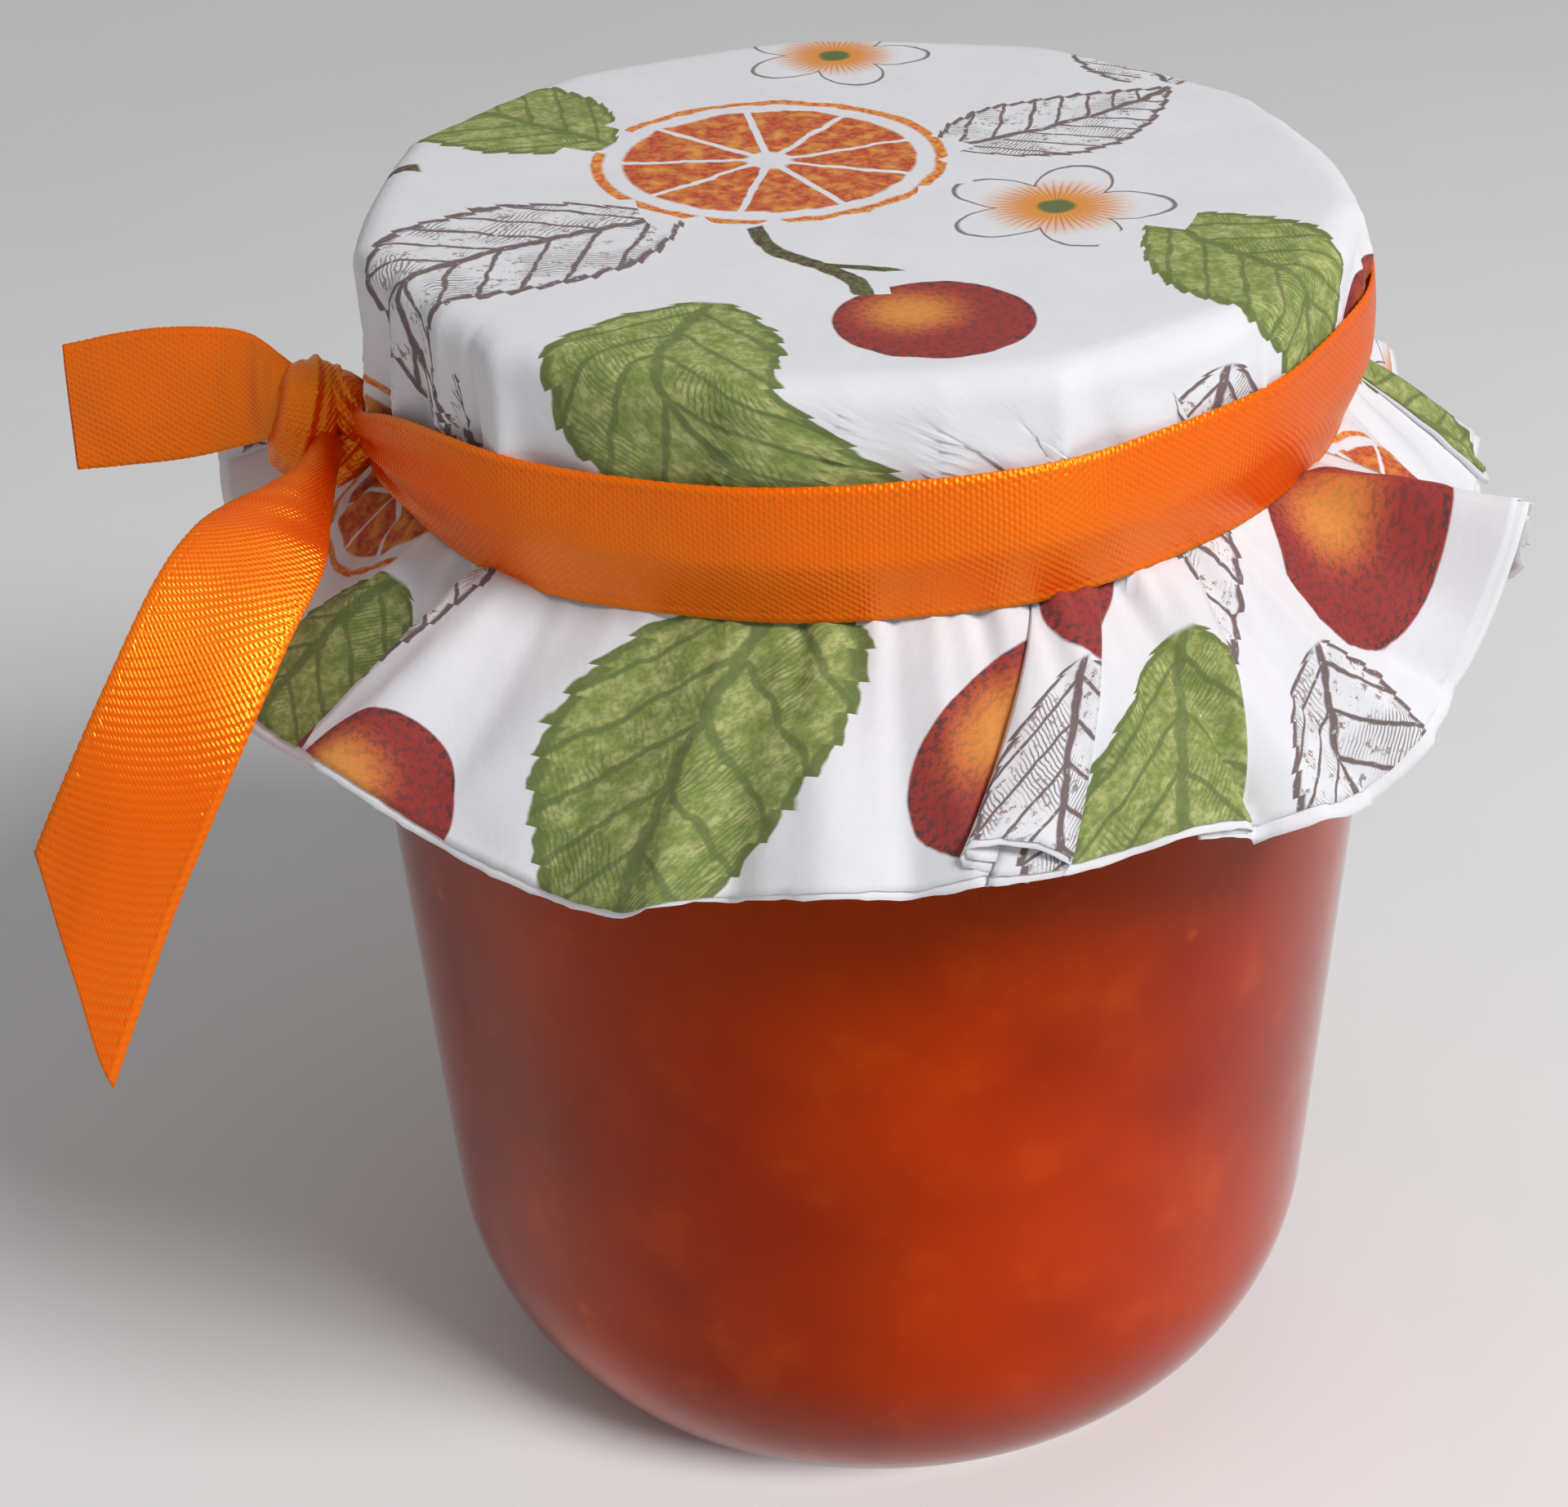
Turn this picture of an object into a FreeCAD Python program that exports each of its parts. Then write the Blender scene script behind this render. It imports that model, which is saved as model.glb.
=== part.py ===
import FreeCAD, Part
import math
import os
import Sketcher
from FreeCAD import Vector

# A jar of jam. The glass tapers down to a large rounded heel, and a twist-off lid
# seats on its rim. A paper cover lies over the lid, is gathered at the neck by a
# flat ribbon with a knot and two tails, and flares out below it in soft flutes.
# Z is the jar's axis and points up. The origin is the centre of the base face.
# Azimuth is counted from the front, which faces -Y, towards +X. All lengths are in mm.

doc = FreeCAD.newDocument("JamJar")

# ---- Driving dimensions -------------------------------------------------------------

dimensions = {
    # glass
    "rimHeight": 93.7,          # base face to sealing rim
    "neckLength": 15.52,        # sealing rim down to the neck's foot
    "bodyRadius": 38.64,        # at the top of the tapered wall
    "taperAngle": 5.0,          # wall to axis, in degrees
    "shoulderRadius": 6.5,
    "shoulderSlope": 12.0,      # in degrees
    "neckFillet": 2.5,
    "neckRadius": 31.5,
    "heelStart": 15.4,          # where the tapered wall ends
    "heelLargeRadius": 20.6,
    "heelSmallRadius": 8.3,
    "glassWall": 2.6,
    "glassBase": 4.0,
    # jam
    "headspace": 9.0,           # rim down to the jam
    "jamClearance": 0.1,        # between jam and glass
    # lid
    "lidRadius": 34.9,
    "lidSkirt": 9.5,
    "lidWall": 0.8,
    "lidEdge": 1.5,
    # paper cover
    "paperThickness": 0.45,
    "paperClearance": 0.15,     # between paper and lid
    "wallBulge": 0.2,           # of the cover's wall, just under the lid's edge
    "tuckDepth": 2.3,           # lid's lip down to where the cover starts to pull in
    "waistDepth": 6.9,          # lid's lip down to the waist
    "waistPull": 0.9,           # of the waist, inside the lid's radius
    "shoulderClearance": 1.75,  # between the glass shoulder and the paper's outside
    "hemFlare": 8.1,            # hem radius beyond the glass
    "hemDrop": 3.5,             # top of the tapered wall down to the hem
    "fluteDepth": 2.0,
    # ribbon
    "ribbonWidth": 10.4,
    "ribbonThickness": 0.5,
    "ribbonClearance": 0.15,    # between ribbon and paper
    "ribbonTilt": 1.6,          # rise towards +X
    "pinchShare": 0.42,         # of the ribbon's width, lost at the knot
    "knotAzimuth": -85.5,       # in degrees
    "knotDrop": 2.0,            # below the middle of the ribbon there
    "knotRadius": 4.4,
    "knotSeat": 1.1,            # depth by which the knot's outline bites into the band
    "shortTail": 21.0,
    "longTail": 47.0,
}

sheet = doc.addObject("Spreadsheet::Sheet", "Sizes")
for row, (alias, value) in enumerate(dimensions.items(), start=1):
    sheet.set(f"A{row}", alias)
    sheet.set(f"B{row}", str(value))
    sheet.setAlias(f"B{row}", alias)
doc.recompute()


def size(formula):
    """The value of a formula of sheet aliases."""
    return float(sheet.evalExpression(formula))


# Heights and radii that more than one piece takes from the sheet.
slopeSine = "sin(Sizes.shoulderSlope * 1 deg)"
slopeCosine = "cos(Sizes.shoulderSlope * 1 deg)"
taperSine = "sin(Sizes.taperAngle * 1 deg)"
taperCosine = "cos(Sizes.taperAngle * 1 deg)"
shoulderEnd = f"Sizes.bodyRadius + Sizes.shoulderRadius * ({slopeSine} - {taperCosine})"
filletEnd = f"Sizes.neckRadius + Sizes.neckFillet * (1 - {slopeSine})"
bodyTop = (f"(Sizes.rimHeight - Sizes.neckLength - Sizes.neckFillet * {slopeCosine}"
           f" - ({shoulderEnd} - ({filletEnd})) * tan(Sizes.shoulderSlope * 1 deg)"
           f" - Sizes.shoulderRadius * ({slopeCosine} + {taperSine}))")
lidTop = "Sizes.rimHeight + Sizes.lidWall"
lidLip = f"{lidTop} - Sizes.lidSkirt"
waist = f"{lidLip} - Sizes.waistDepth"
waistRadius = "Sizes.lidRadius - Sizes.waistPull"
tuck = f"{lidLip} - Sizes.tuckDepth"

# ---- Sketch helpers -----------------------------------------------------------------

axisLine = -2


def revolvedSketch(body, name):
    """A sketch on the body's own XZ plane: its x is the radius, its y the height."""
    sketch = body.newObject("Sketcher::SketchObject", name)
    plane = next(item for item in body.Origin.OriginFeatures if item.Role == "XZ_Plane")
    sketch.AttachmentSupport = [(plane, "")]
    sketch.MapMode = "FlatFace"
    return sketch


def addLine(sketch, start, end):
    return sketch.addGeometry(Part.LineSegment(Vector(*start, 0), Vector(*end, 0)))


def addArc(sketch, centre, radius, fromAngle, toAngle):
    circle = Part.Circle(Vector(*centre, 0), Vector(0, 0, 1), radius)
    return sketch.addGeometry(Part.ArcOfCircle(circle, fromAngle, toAngle))


def join(sketch, first, firstEnd, second, secondEnd, kind="Coincident"):
    sketch.addConstraint(Sketcher.Constraint(kind, first, firstEnd, second, secondEnd))


def drive(sketch, name, kind, where, formula):
    """A named dimension of the sketch that follows a formula."""
    scale = 180 / math.pi if kind == "Angle" else 1
    constraint = Sketcher.Constraint(kind, *where, size(formula) / scale)
    sketch.renameConstraint(sketch.addConstraint(constraint), name)
    sketch.setExpression(f"Constraints.{name}", formula)


def turnSketch(body, sketch, kind="PartDesign::Revolution"):
    """Revolve or groove a sketch about the jar's axis."""
    feature = body.newObject(kind, f"{sketch.Name}Turned")
    feature.Profile = sketch
    feature.ReferenceAxis = (sketch, ["V_Axis"])
    feature.Angle = 360
    sketch.Visibility = False
    return feature


# ---- Vessel profile -----------------------------------------------------------------

def vesselProfile(body, name, inset, floor, top):
    """The closed half outline of the glass, moved inwards by inset.

    It runs along the floor, round the heel's two arcs, up the tapered wall, over the
    shoulder into the neck and back along the top. All arcs are tangent to what they meet.
    """
    taper = math.radians(size("Sizes.taperAngle"))
    slope = math.radians(90 - size("Sizes.shoulderSlope"))
    step, low, high = size(inset), size(floor), size(top)
    wallTop = (size("Sizes.bodyRadius") - step, size(bodyTop))
    heelTop = size("Sizes.heelStart")
    wallFoot = (wallTop[0] - (wallTop[1] - heelTop) * math.tan(taper), heelTop)
    large = size("Sizes.heelLargeRadius") - step
    small = size("Sizes.heelSmallRadius") - step
    largeCentre = (wallFoot[0] - large * math.cos(taper), heelTop + large * math.sin(taper))
    split = math.asin((largeCentre[1] - low - small) / (large - small))
    smallCentre = (largeCentre[0] + (large - small) * math.cos(split), low + small)
    shoulder = size("Sizes.shoulderRadius") - step
    fillet = size("Sizes.neckFillet") + step
    neck = size("Sizes.neckRadius") - step
    crown = (wallTop[0] - shoulder * math.cos(taper), wallTop[1] + shoulder * math.sin(taper))
    crownEnd = (crown[0] + shoulder * math.cos(slope), crown[1] + shoulder * math.sin(slope))
    filletFoot = neck + fillet * (1 - math.cos(slope))
    filletLow = crownEnd[1] + (crownEnd[0] - filletFoot) / math.tan(slope)
    filletCentre = (neck + fillet, filletLow + fillet * math.sin(slope))

    sketch = revolvedSketch(body, name)
    floorLine = addLine(sketch, (0, low), (smallCentre[0], low))
    smallArc = addArc(sketch, smallCentre, small, -math.pi / 2, -split)
    largeArc = addArc(sketch, largeCentre, large, -split, -taper)
    wallLine = addLine(sketch, wallFoot, wallTop)
    shoulderArc = addArc(sketch, crown, shoulder, -taper, slope)
    slopeLine = addLine(sketch, crownEnd, (filletFoot, filletLow))
    neckArc = addArc(sketch, filletCentre, fillet, math.pi, math.pi + slope)
    neckLine = addLine(sketch, (neck, filletCentre[1]), (neck, high))
    topLine = addLine(sketch, (neck, high), (0, high))
    closing = addLine(sketch, (0, high), (0, low))

    join(sketch, floorLine, 2, smallArc, 1, "Tangent")
    join(sketch, smallArc, 2, largeArc, 1, "Tangent")
    join(sketch, largeArc, 2, wallLine, 1, "Tangent")
    join(sketch, wallLine, 2, shoulderArc, 1, "Tangent")
    join(sketch, shoulderArc, 2, slopeLine, 1, "Tangent")
    join(sketch, slopeLine, 2, neckArc, 2, "Tangent")
    join(sketch, neckArc, 1, neckLine, 1, "Tangent")
    join(sketch, neckLine, 2, topLine, 1)
    join(sketch, topLine, 2, closing, 1)
    join(sketch, closing, 2, floorLine, 1)
    sketch.addConstraint(Sketcher.Constraint("Horizontal", floorLine))
    sketch.addConstraint(Sketcher.Constraint("Horizontal", topLine))
    sketch.addConstraint(Sketcher.Constraint("Vertical", neckLine))
    sketch.addConstraint(Sketcher.Constraint("PointOnObject", closing, 1, axisLine))
    sketch.addConstraint(Sketcher.Constraint("PointOnObject", closing, 2, axisLine))

    drive(sketch, "small", "Radius", (smallArc,), f"Sizes.heelSmallRadius - ({inset})")
    drive(sketch, "large", "Radius", (largeArc,), f"Sizes.heelLargeRadius - ({inset})")
    drive(sketch, "shoulder", "Radius", (shoulderArc,), f"Sizes.shoulderRadius - ({inset})")
    drive(sketch, "fillet", "Radius", (neckArc,), f"Sizes.neckFillet + ({inset})")
    drive(sketch, "wallTopX", "DistanceX", (-1, 1, wallLine, 2), f"Sizes.bodyRadius - ({inset})")
    drive(sketch, "wallTopY", "DistanceY", (-1, 1, wallLine, 2), bodyTop)
    drive(sketch, "wallFootY", "DistanceY", (-1, 1, wallLine, 1), "Sizes.heelStart")
    drive(sketch, "taper", "DistanceX", (wallLine, 1, wallLine, 2),
          f"({bodyTop} - Sizes.heelStart) * tan(Sizes.taperAngle * 1 deg)")
    drive(sketch, "neckX", "DistanceX", (-1, 1, neckLine, 2), f"Sizes.neckRadius - ({inset})")
    drive(sketch, "topY", "DistanceY", (-1, 1, neckLine, 2), top)
    if size(floor) > 0:
        drive(sketch, "floorY", "DistanceY", (-1, 1, floorLine, 1), floor)
    else:
        sketch.addConstraint(Sketcher.Constraint("PointOnObject", floorLine, 1, -1))
    drive(sketch, "slope", "Angle", (slopeLine,), "180 deg - Sizes.shoulderSlope * 1 deg")
    return sketch


# ---- Glass and jam ------------------------------------------------------------------

def makeJar():
    """The glass: the outer form, hollowed at one wall's distance."""
    body = doc.addObject("PartDesign::Body", "jar")
    outer = vesselProfile(body, "GlassOutside", "0", "0", "Sizes.rimHeight")
    turnSketch(body, outer)
    overRim = "Sizes.rimHeight + Sizes.lidWall"
    inner = vesselProfile(body, "GlassInside", "Sizes.glassWall", "Sizes.glassBase", overRim)
    turnSketch(body, inner, "PartDesign::Groove")
    return body


def makeJam():
    """The jam fills the glass up to its headspace."""
    body = doc.addObject("PartDesign::Body", "jam")
    profile = vesselProfile(body, "JamOutside", "Sizes.glassWall + Sizes.jamClearance",
                            "Sizes.glassBase + Sizes.jamClearance",
                            "Sizes.rimHeight - Sizes.headspace")
    turnSketch(body, profile)
    return body


# ---- Lid ----------------------------------------------------------------------------

def makeLid():
    """A flat cap whose underside seats on the rim, with a rounded edge and a skirt."""
    body = doc.addObject("PartDesign::Body", "lid")
    radius, wall, edge = size("Sizes.lidRadius"), size("Sizes.lidWall"), size("Sizes.lidEdge")
    top, lip = size(lidTop), size(lidLip)
    under, inside, corner = top - wall, radius - wall, (radius - edge, top - edge)

    sketch = revolvedSketch(body, "LidSection")
    topLine = addLine(sketch, (0, top), (corner[0], top))
    outerArc = addArc(sketch, corner, edge, 0, math.pi / 2)
    outerWall = addLine(sketch, (radius, corner[1]), (radius, lip))
    lipLine = addLine(sketch, (radius, lip), (inside, lip))
    innerWall = addLine(sketch, (inside, lip), (inside, corner[1]))
    innerArc = addArc(sketch, corner, edge - wall, 0, math.pi / 2)
    underLine = addLine(sketch, (corner[0], under), (0, under))
    closing = addLine(sketch, (0, under), (0, top))

    join(sketch, topLine, 2, outerArc, 2, "Tangent")
    join(sketch, outerArc, 1, outerWall, 1, "Tangent")
    join(sketch, outerWall, 2, lipLine, 1)
    join(sketch, lipLine, 2, innerWall, 1)
    join(sketch, innerWall, 2, innerArc, 1, "Tangent")
    join(sketch, innerArc, 2, underLine, 1, "Tangent")
    join(sketch, underLine, 2, closing, 1)
    join(sketch, closing, 2, topLine, 1)
    for line in (topLine, lipLine, underLine):
        sketch.addConstraint(Sketcher.Constraint("Horizontal", line))
    for line in (outerWall, innerWall):
        sketch.addConstraint(Sketcher.Constraint("Vertical", line))
    sketch.addConstraint(Sketcher.Constraint("PointOnObject", closing, 1, axisLine))
    sketch.addConstraint(Sketcher.Constraint("PointOnObject", closing, 2, axisLine))
    drive(sketch, "radius", "DistanceX", (-1, 1, lipLine, 1), "Sizes.lidRadius")
    drive(sketch, "inside", "DistanceX", (-1, 1, lipLine, 2), "Sizes.lidRadius - Sizes.lidWall")
    drive(sketch, "top", "DistanceY", (-1, 1, closing, 2), lidTop)
    drive(sketch, "under", "DistanceY", (-1, 1, closing, 1), "Sizes.rimHeight")
    drive(sketch, "lip", "DistanceY", (-1, 1, lipLine, 1), lidLip)
    drive(sketch, "edge", "Radius", (outerArc,), "Sizes.lidEdge")
    turnSketch(body, sketch)
    return body


# ---- Rings: closed level curves round the axis --------------------------------------

ringPoints = 96


def ringWire(place):
    """A smooth closed wire through the points that place(azimuth) gives."""
    points = [place(2 * math.pi * step / ringPoints) for step in range(ringPoints)]
    curve = Part.BSplineCurve()
    curve.interpolate(Points=points, PeriodicFlag=True)
    return Part.Wire(curve.toShape())


def roundPoint(radius, azimuth, height):
    return Vector(radius * math.sin(azimuth), -radius * math.cos(azimuth), height)


def strips(wires):
    """The ruled bands between each ring and the next."""
    return [face for low, high in zip(wires, wires[1:])
            for face in Part.makeRuledSurface(low, high).Faces]


def closedSolid(faces):
    shell = Part.makeShell(faces)
    shell.sewShape()
    solid = Part.makeSolid(shell)
    if solid.Volume < 0:
        solid.reverse()
    return solid


def feature(name, shape):
    part = doc.addObject("Part::Feature", name)
    part.Shape = shape
    part.Placement = FreeCAD.Placement()
    return part


def bump(azimuth, middle, halfWidth):
    """A smooth rise from 0 to 1 and back, round a middle azimuth in degrees."""
    turn = math.remainder(math.degrees(azimuth) - middle, 360)
    return math.exp(-(turn / halfWidth) ** 2)


# ---- Paper cover --------------------------------------------------------------------

# Flutes of the skirt: how many round the jar, their share of the depth, and their start.
flutes = ((7, 0.45, 0.6), (11, 0.30, 2.1), (17, 0.25, 4.0))

# Folds where the hem stands up and out: azimuth, half width, rise and reach.
hemFolds = ((70, 12, 11.0, 3.5), (108, 12, 8.0, 2.5), (-103, 13, 7.0, 3.0), (178, 20, 3.0, 1.0))


def flute(azimuth):
    return sum(share * math.sin(count * azimuth + start) for count, share, start in flutes)


def tiltAt(azimuth, share=1.0):
    """How far the ribbon, and the paper that it gathers, stand above their mean height."""
    return share * size("Sizes.ribbonTilt") * math.sin(azimuth)


def coverStations():
    """The cover's outside from its rim down: radius, height, tilt share and skirt share.

    The skirt share says how much of the flutes and of the hem's folds a station has.
    """
    out = size("Sizes.paperClearance + Sizes.paperThickness")
    edge, radius, top = size("Sizes.lidEdge"), size("Sizes.lidRadius"), size(lidTop)
    lip, shoulder = size(lidLip), size("Sizes.shoulderRadius + Sizes.shoulderClearance")
    stations = []
    for angle in (90, 60, 30, 0):
        turn = math.radians(angle)
        stations.append((radius - edge + (edge + out) * math.cos(turn),
                         top - edge + (edge + out) * math.sin(turn), 0, 0))
    wallRadius = radius + out
    stations.append((wallRadius + size("Sizes.wallBulge"), (top + lip) / 2, 1, 0))
    stations.append((wallRadius, size(tuck), 1, 0))
    stations.append((size(waistRadius), size(waist), 1, 0))
    crown = size("Sizes.bodyRadius - Sizes.shoulderRadius")
    over, diagonal = math.radians(62), math.radians(45)      # places round the shoulder
    stations.append((crown + shoulder * math.cos(over),
                     size(bodyTop) + shoulder * math.sin(over), 0.6, 0.05))
    passing = (crown + shoulder * math.cos(diagonal),
               size(bodyTop) + shoulder * math.sin(diagonal))
    hem = (size("Sizes.bodyRadius + Sizes.hemFlare"), size(f"{bodyTop} - Sizes.hemDrop"))
    stations.append((*passing, 0.3, 0.12))
    for share in (0.3, 0.65, 1.0):
        stations.append((passing[0] + share * (hem[0] - passing[0]),
                         passing[1] + share * (hem[1] - passing[1]), 0.3 * (1 - share),
                         0.12 + 0.88 * share))
    return stations


def insideStations(stations):
    """The same stations moved inwards, square to the cover's section, by the paper."""
    thickness = size("Sizes.paperThickness")
    moved = []
    for place, (radius, height, tilt, skirt) in enumerate(stations):
        before = stations[max(place - 1, 0)]
        after = stations[min(place + 1, len(stations) - 1)]
        run, drop = after[0] - before[0], after[1] - before[1]
        length = math.hypot(run, drop)
        if place == 0:
            run, drop, length = 1, 0, 1
        moved.append((radius + thickness * drop / length, height - thickness * run / length,
                      tilt, skirt))
    return moved


def coverRing(station):
    radius, height, tilt, skirt = station

    def place(azimuth):
        reach = skirt * size("Sizes.fluteDepth") * flute(azimuth)
        rise = tiltAt(azimuth, tilt)
        for middle, halfWidth, foldRise, foldReach in hemFolds:
            fold = bump(azimuth, middle, halfWidth) * skirt ** 1.5
            reach += fold * foldReach
            rise += fold * foldRise
        return roundPoint(radius + reach, azimuth, height + rise)

    return ringWire(place)


def makeCover():
    """One sheet of paper: outside, hem edge and inside, closed by two flat discs."""
    stations = coverStations()
    outside = [coverRing(station) for station in stations]
    inside = [coverRing(station) for station in insideStations(stations)]
    faces = strips(outside) + strips([outside[-1], inside[-1]]) + strips(inside)
    faces += [Part.Face(outside[0]), Part.Face(inside[0])]
    return feature("cover", closedSolid(faces))


# ---- Ribbon -------------------------------------------------------------------------

bandRows = 8


def gatheredRadius(height):
    """The cover's outside radius between the lid's edge and the waist."""
    stations = coverStations()[3:7]
    for (upperRadius, upper, _, _), (lowerRadius, lower, _, _) in zip(stations, stations[1:]):
        if height >= lower:
            share = (height - lower) / (upper - lower)
            return lowerRadius + share * (upperRadius - lowerRadius)
    return stations[-1][0]


def bandRing(share, layer):
    """A ring of the band: share runs from its lower edge, 0, to its upper edge, 1."""
    bottom = size(waist)
    width = size("Sizes.ribbonWidth")

    def place(azimuth):
        pinch = size("Sizes.pinchShare") * bump(azimuth, size("Sizes.knotAzimuth"), 17)
        across = 0.5 + (share - 0.5) * (1 - pinch)
        height = bottom + across * width
        radius = gatheredRadius(height) + size("Sizes.ribbonClearance") + layer
        return roundPoint(radius, azimuth, height + tiltAt(azimuth))

    return ringWire(place)


def makeBand():
    shares = [row / bandRows for row in range(bandRows + 1)]
    thickness = size("Sizes.ribbonThickness")
    outside = [bandRing(share, thickness) for share in shares]
    inside = [bandRing(share, 0.0) for share in reversed(shares)]
    return closedSolid(strips(outside + inside + outside[:1]))


def knotCentre():
    """The knot sits on the band's outside, and bites into it by its seat."""
    azimuth = math.radians(size("Sizes.knotAzimuth"))
    height = size(f"{waist} + Sizes.ribbonWidth / 2 - Sizes.knotDrop")
    outside = gatheredRadius(height) + size("Sizes.ribbonClearance + Sizes.ribbonThickness")
    reach = outside + size("Sizes.knotRadius - Sizes.knotSeat")
    return roundPoint(reach, azimuth, height + tiltAt(azimuth))


def tail(stations, across, share):
    """A flat strip along a route from the knot.

    A station is the middle's offset from the knot, for a tail of unit length, and the
    width there as a share of the ribbon's width. across is the direction of the width.
    """
    knot, width = knotCentre(), size("Sizes.ribbonWidth")
    thickness = size("Sizes.ribbonThickness")
    middles = [knot + Vector(*offset) * share for offset, _ in stations]
    sections = []
    for place, (_, portion) in enumerate(stations):
        before = middles[max(place - 1, 0)]
        after = middles[min(place + 1, len(middles) - 1)]
        side = Vector(*across).normalize() * (width * portion / 2)
        normal = (after - before).cross(side).normalize() * (thickness / 2)
        middle = middles[place]
        corners = [middle + side + normal, middle - side + normal,
                   middle - side - normal, middle + side - normal]
        sections.append(Part.makePolygon(corners + corners[:1]))
    return Part.makeLoft(sections, True, True)


def makeRibbon():
    """The band round the gathered paper, with its knot and both tails, is one strip."""
    centre, radius = knotCentre(), size("Sizes.knotRadius")
    core = Part.makeSphere(radius * 0.8, centre)
    wrap = Part.makeTorus(radius * 0.56, radius * 0.44, centre, Vector(-0.93, 0.25, -0.1))
    shortStations = (((-0.06, -0.02, 0.06), 0.50), ((-0.17, 0.00, 0.08), 0.57),
                     ((-0.31, 0.10, 0.06), 0.80), ((-0.53, 0.17, 0.02), 0.94),
                     ((-0.75, 0.25, -0.03), 0.96), ((-0.95, 0.32, -0.07), 0.96),
                     ((-1.04, 0.35, -0.09), 0.80))
    longStations = (((0.00, -0.05, 0.00), 0.30), ((-0.01, -0.13, -0.04), 0.30),
                    ((-0.05, -0.24, -0.06), 0.72), ((-0.08, -0.32, -0.08), 0.93),
                    ((-0.12, -0.40, -0.13), 1.00), ((-0.19, -0.52, -0.25), 1.00),
                    ((-0.24, -0.58, -0.36), 1.00), ((-0.30, -0.62, -0.47), 1.00),
                    ((-0.27, -0.70, -0.74), 0.35), ((-0.25, -0.73, -0.88), 0.05))
    shortTail = tail(shortStations, (0, -0.48, -0.88), size("Sizes.shortTail"))
    longTail = tail(longStations, (0.93, -0.14, -0.34), size("Sizes.longTail"))
    shape = makeBand().fuse([core, wrap, shortTail, longTail])
    return feature("ribbon", shape.removeSplitter())


# ---- Build, check and write ---------------------------------------------------------

def checkParts(parts):
    """Stop unless every object is sound and every piece is one closed solid."""
    for item in doc.Objects:
        if "Invalid" in item.State or "Error" in item.State:
            raise RuntimeError(f"{item.Label} failed: {item.State}")
    for part in parts:
        shape = part.Shape
        if shape.isNull() or not shape.isValid() or len(shape.Solids) != 1:
            raise RuntimeError(f"{part.Label} isn't one valid solid")


parts = [makeJar(), makeJam(), makeLid(), makeCover(), makeRibbon()]
doc.recompute()
checkParts(parts)
os.makedirs("parts", exist_ok=True)
for part in parts:
    box = part.Shape.BoundBox
    print(part.Label, f"volume {part.Shape.Volume:.1f}", f"x {box.XMin:.1f} to {box.XMax:.1f}",
          f"y {box.YMin:.1f} to {box.YMax:.1f}", f"z {box.ZMin:.1f} to {box.ZMax:.1f}")
    part.Shape.exportStep(f"parts/{part.Label}.step")
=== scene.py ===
import bisect
import bmesh
import bpy
import functools
import math
import random
from mathutils import Matrix, Vector, noise


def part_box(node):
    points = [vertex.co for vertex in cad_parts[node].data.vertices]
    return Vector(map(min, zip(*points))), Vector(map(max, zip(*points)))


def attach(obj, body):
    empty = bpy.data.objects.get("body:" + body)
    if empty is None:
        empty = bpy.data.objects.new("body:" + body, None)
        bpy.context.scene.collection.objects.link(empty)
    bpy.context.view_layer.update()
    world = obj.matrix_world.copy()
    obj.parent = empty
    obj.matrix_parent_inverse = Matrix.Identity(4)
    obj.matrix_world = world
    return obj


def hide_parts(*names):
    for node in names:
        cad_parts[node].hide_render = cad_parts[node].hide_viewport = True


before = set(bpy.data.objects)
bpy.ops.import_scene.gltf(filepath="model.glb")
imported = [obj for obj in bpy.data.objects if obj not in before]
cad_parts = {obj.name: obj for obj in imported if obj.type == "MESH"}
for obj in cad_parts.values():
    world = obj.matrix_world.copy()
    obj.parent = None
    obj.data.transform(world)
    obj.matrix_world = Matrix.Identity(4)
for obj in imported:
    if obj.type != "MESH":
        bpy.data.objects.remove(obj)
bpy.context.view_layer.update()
print("frame loaded")

# Shapes are worked out in millimetres, with the front towards -Y. finishPiece turns them
# into metres. An azimuth is counted in degrees from the front towards +X.
mm = 0.001


def cornerOf(node, which):
    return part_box(node)[which] / mm


jarLow, jarHigh = cornerOf("jar", 0), cornerOf("jar", 1)
lidLow, lidHigh = cornerOf("lid", 0), cornerOf("lid", 1)
coverHigh = cornerOf("cover", 1)


# Small helpers.

def smoothStep(low, high, value):
    share = min(max((value - low) / (high - low), 0.0), 1.0)
    return share * share * (3 - 2 * share)


def turnBetween(azimuth, middle):
    return math.remainder(azimuth - middle, 360)


# A rise of height 1: round where sharpness is 0, a crease where it is 1.
def ridge(distance, width, sharpness):
    away = abs(distance) / width
    return (1 - sharpness) * math.exp(-away * away) + sharpness * math.exp(-1.6 * away)


# The value at a place counted in points along a smooth line through them.
def catmull(points, place):
    last = len(points) - 1
    start = min(max(int(place), 0), last - 1)
    t = place - start
    a, b = points[max(start - 1, 0)], points[start]
    c, d = points[start + 1], points[min(start + 2, last)]
    return tuple(0.5 * (2 * q + (r - p) * t + (2 * p - 5 * q + 4 * r - s) * t ** 2
                        + (3 * q - 3 * r + s - p) * t ** 3)
                 for p, q, r, s in zip(a, b, c, d))


def roundPoint(radius, azimuth, height):
    turn = math.radians(azimuth)
    return Vector((radius * math.sin(turn), -radius * math.cos(turn), height))


def smoothNoise(x, y, z):
    return noise.noise(Vector((x, y, z)))


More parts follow.
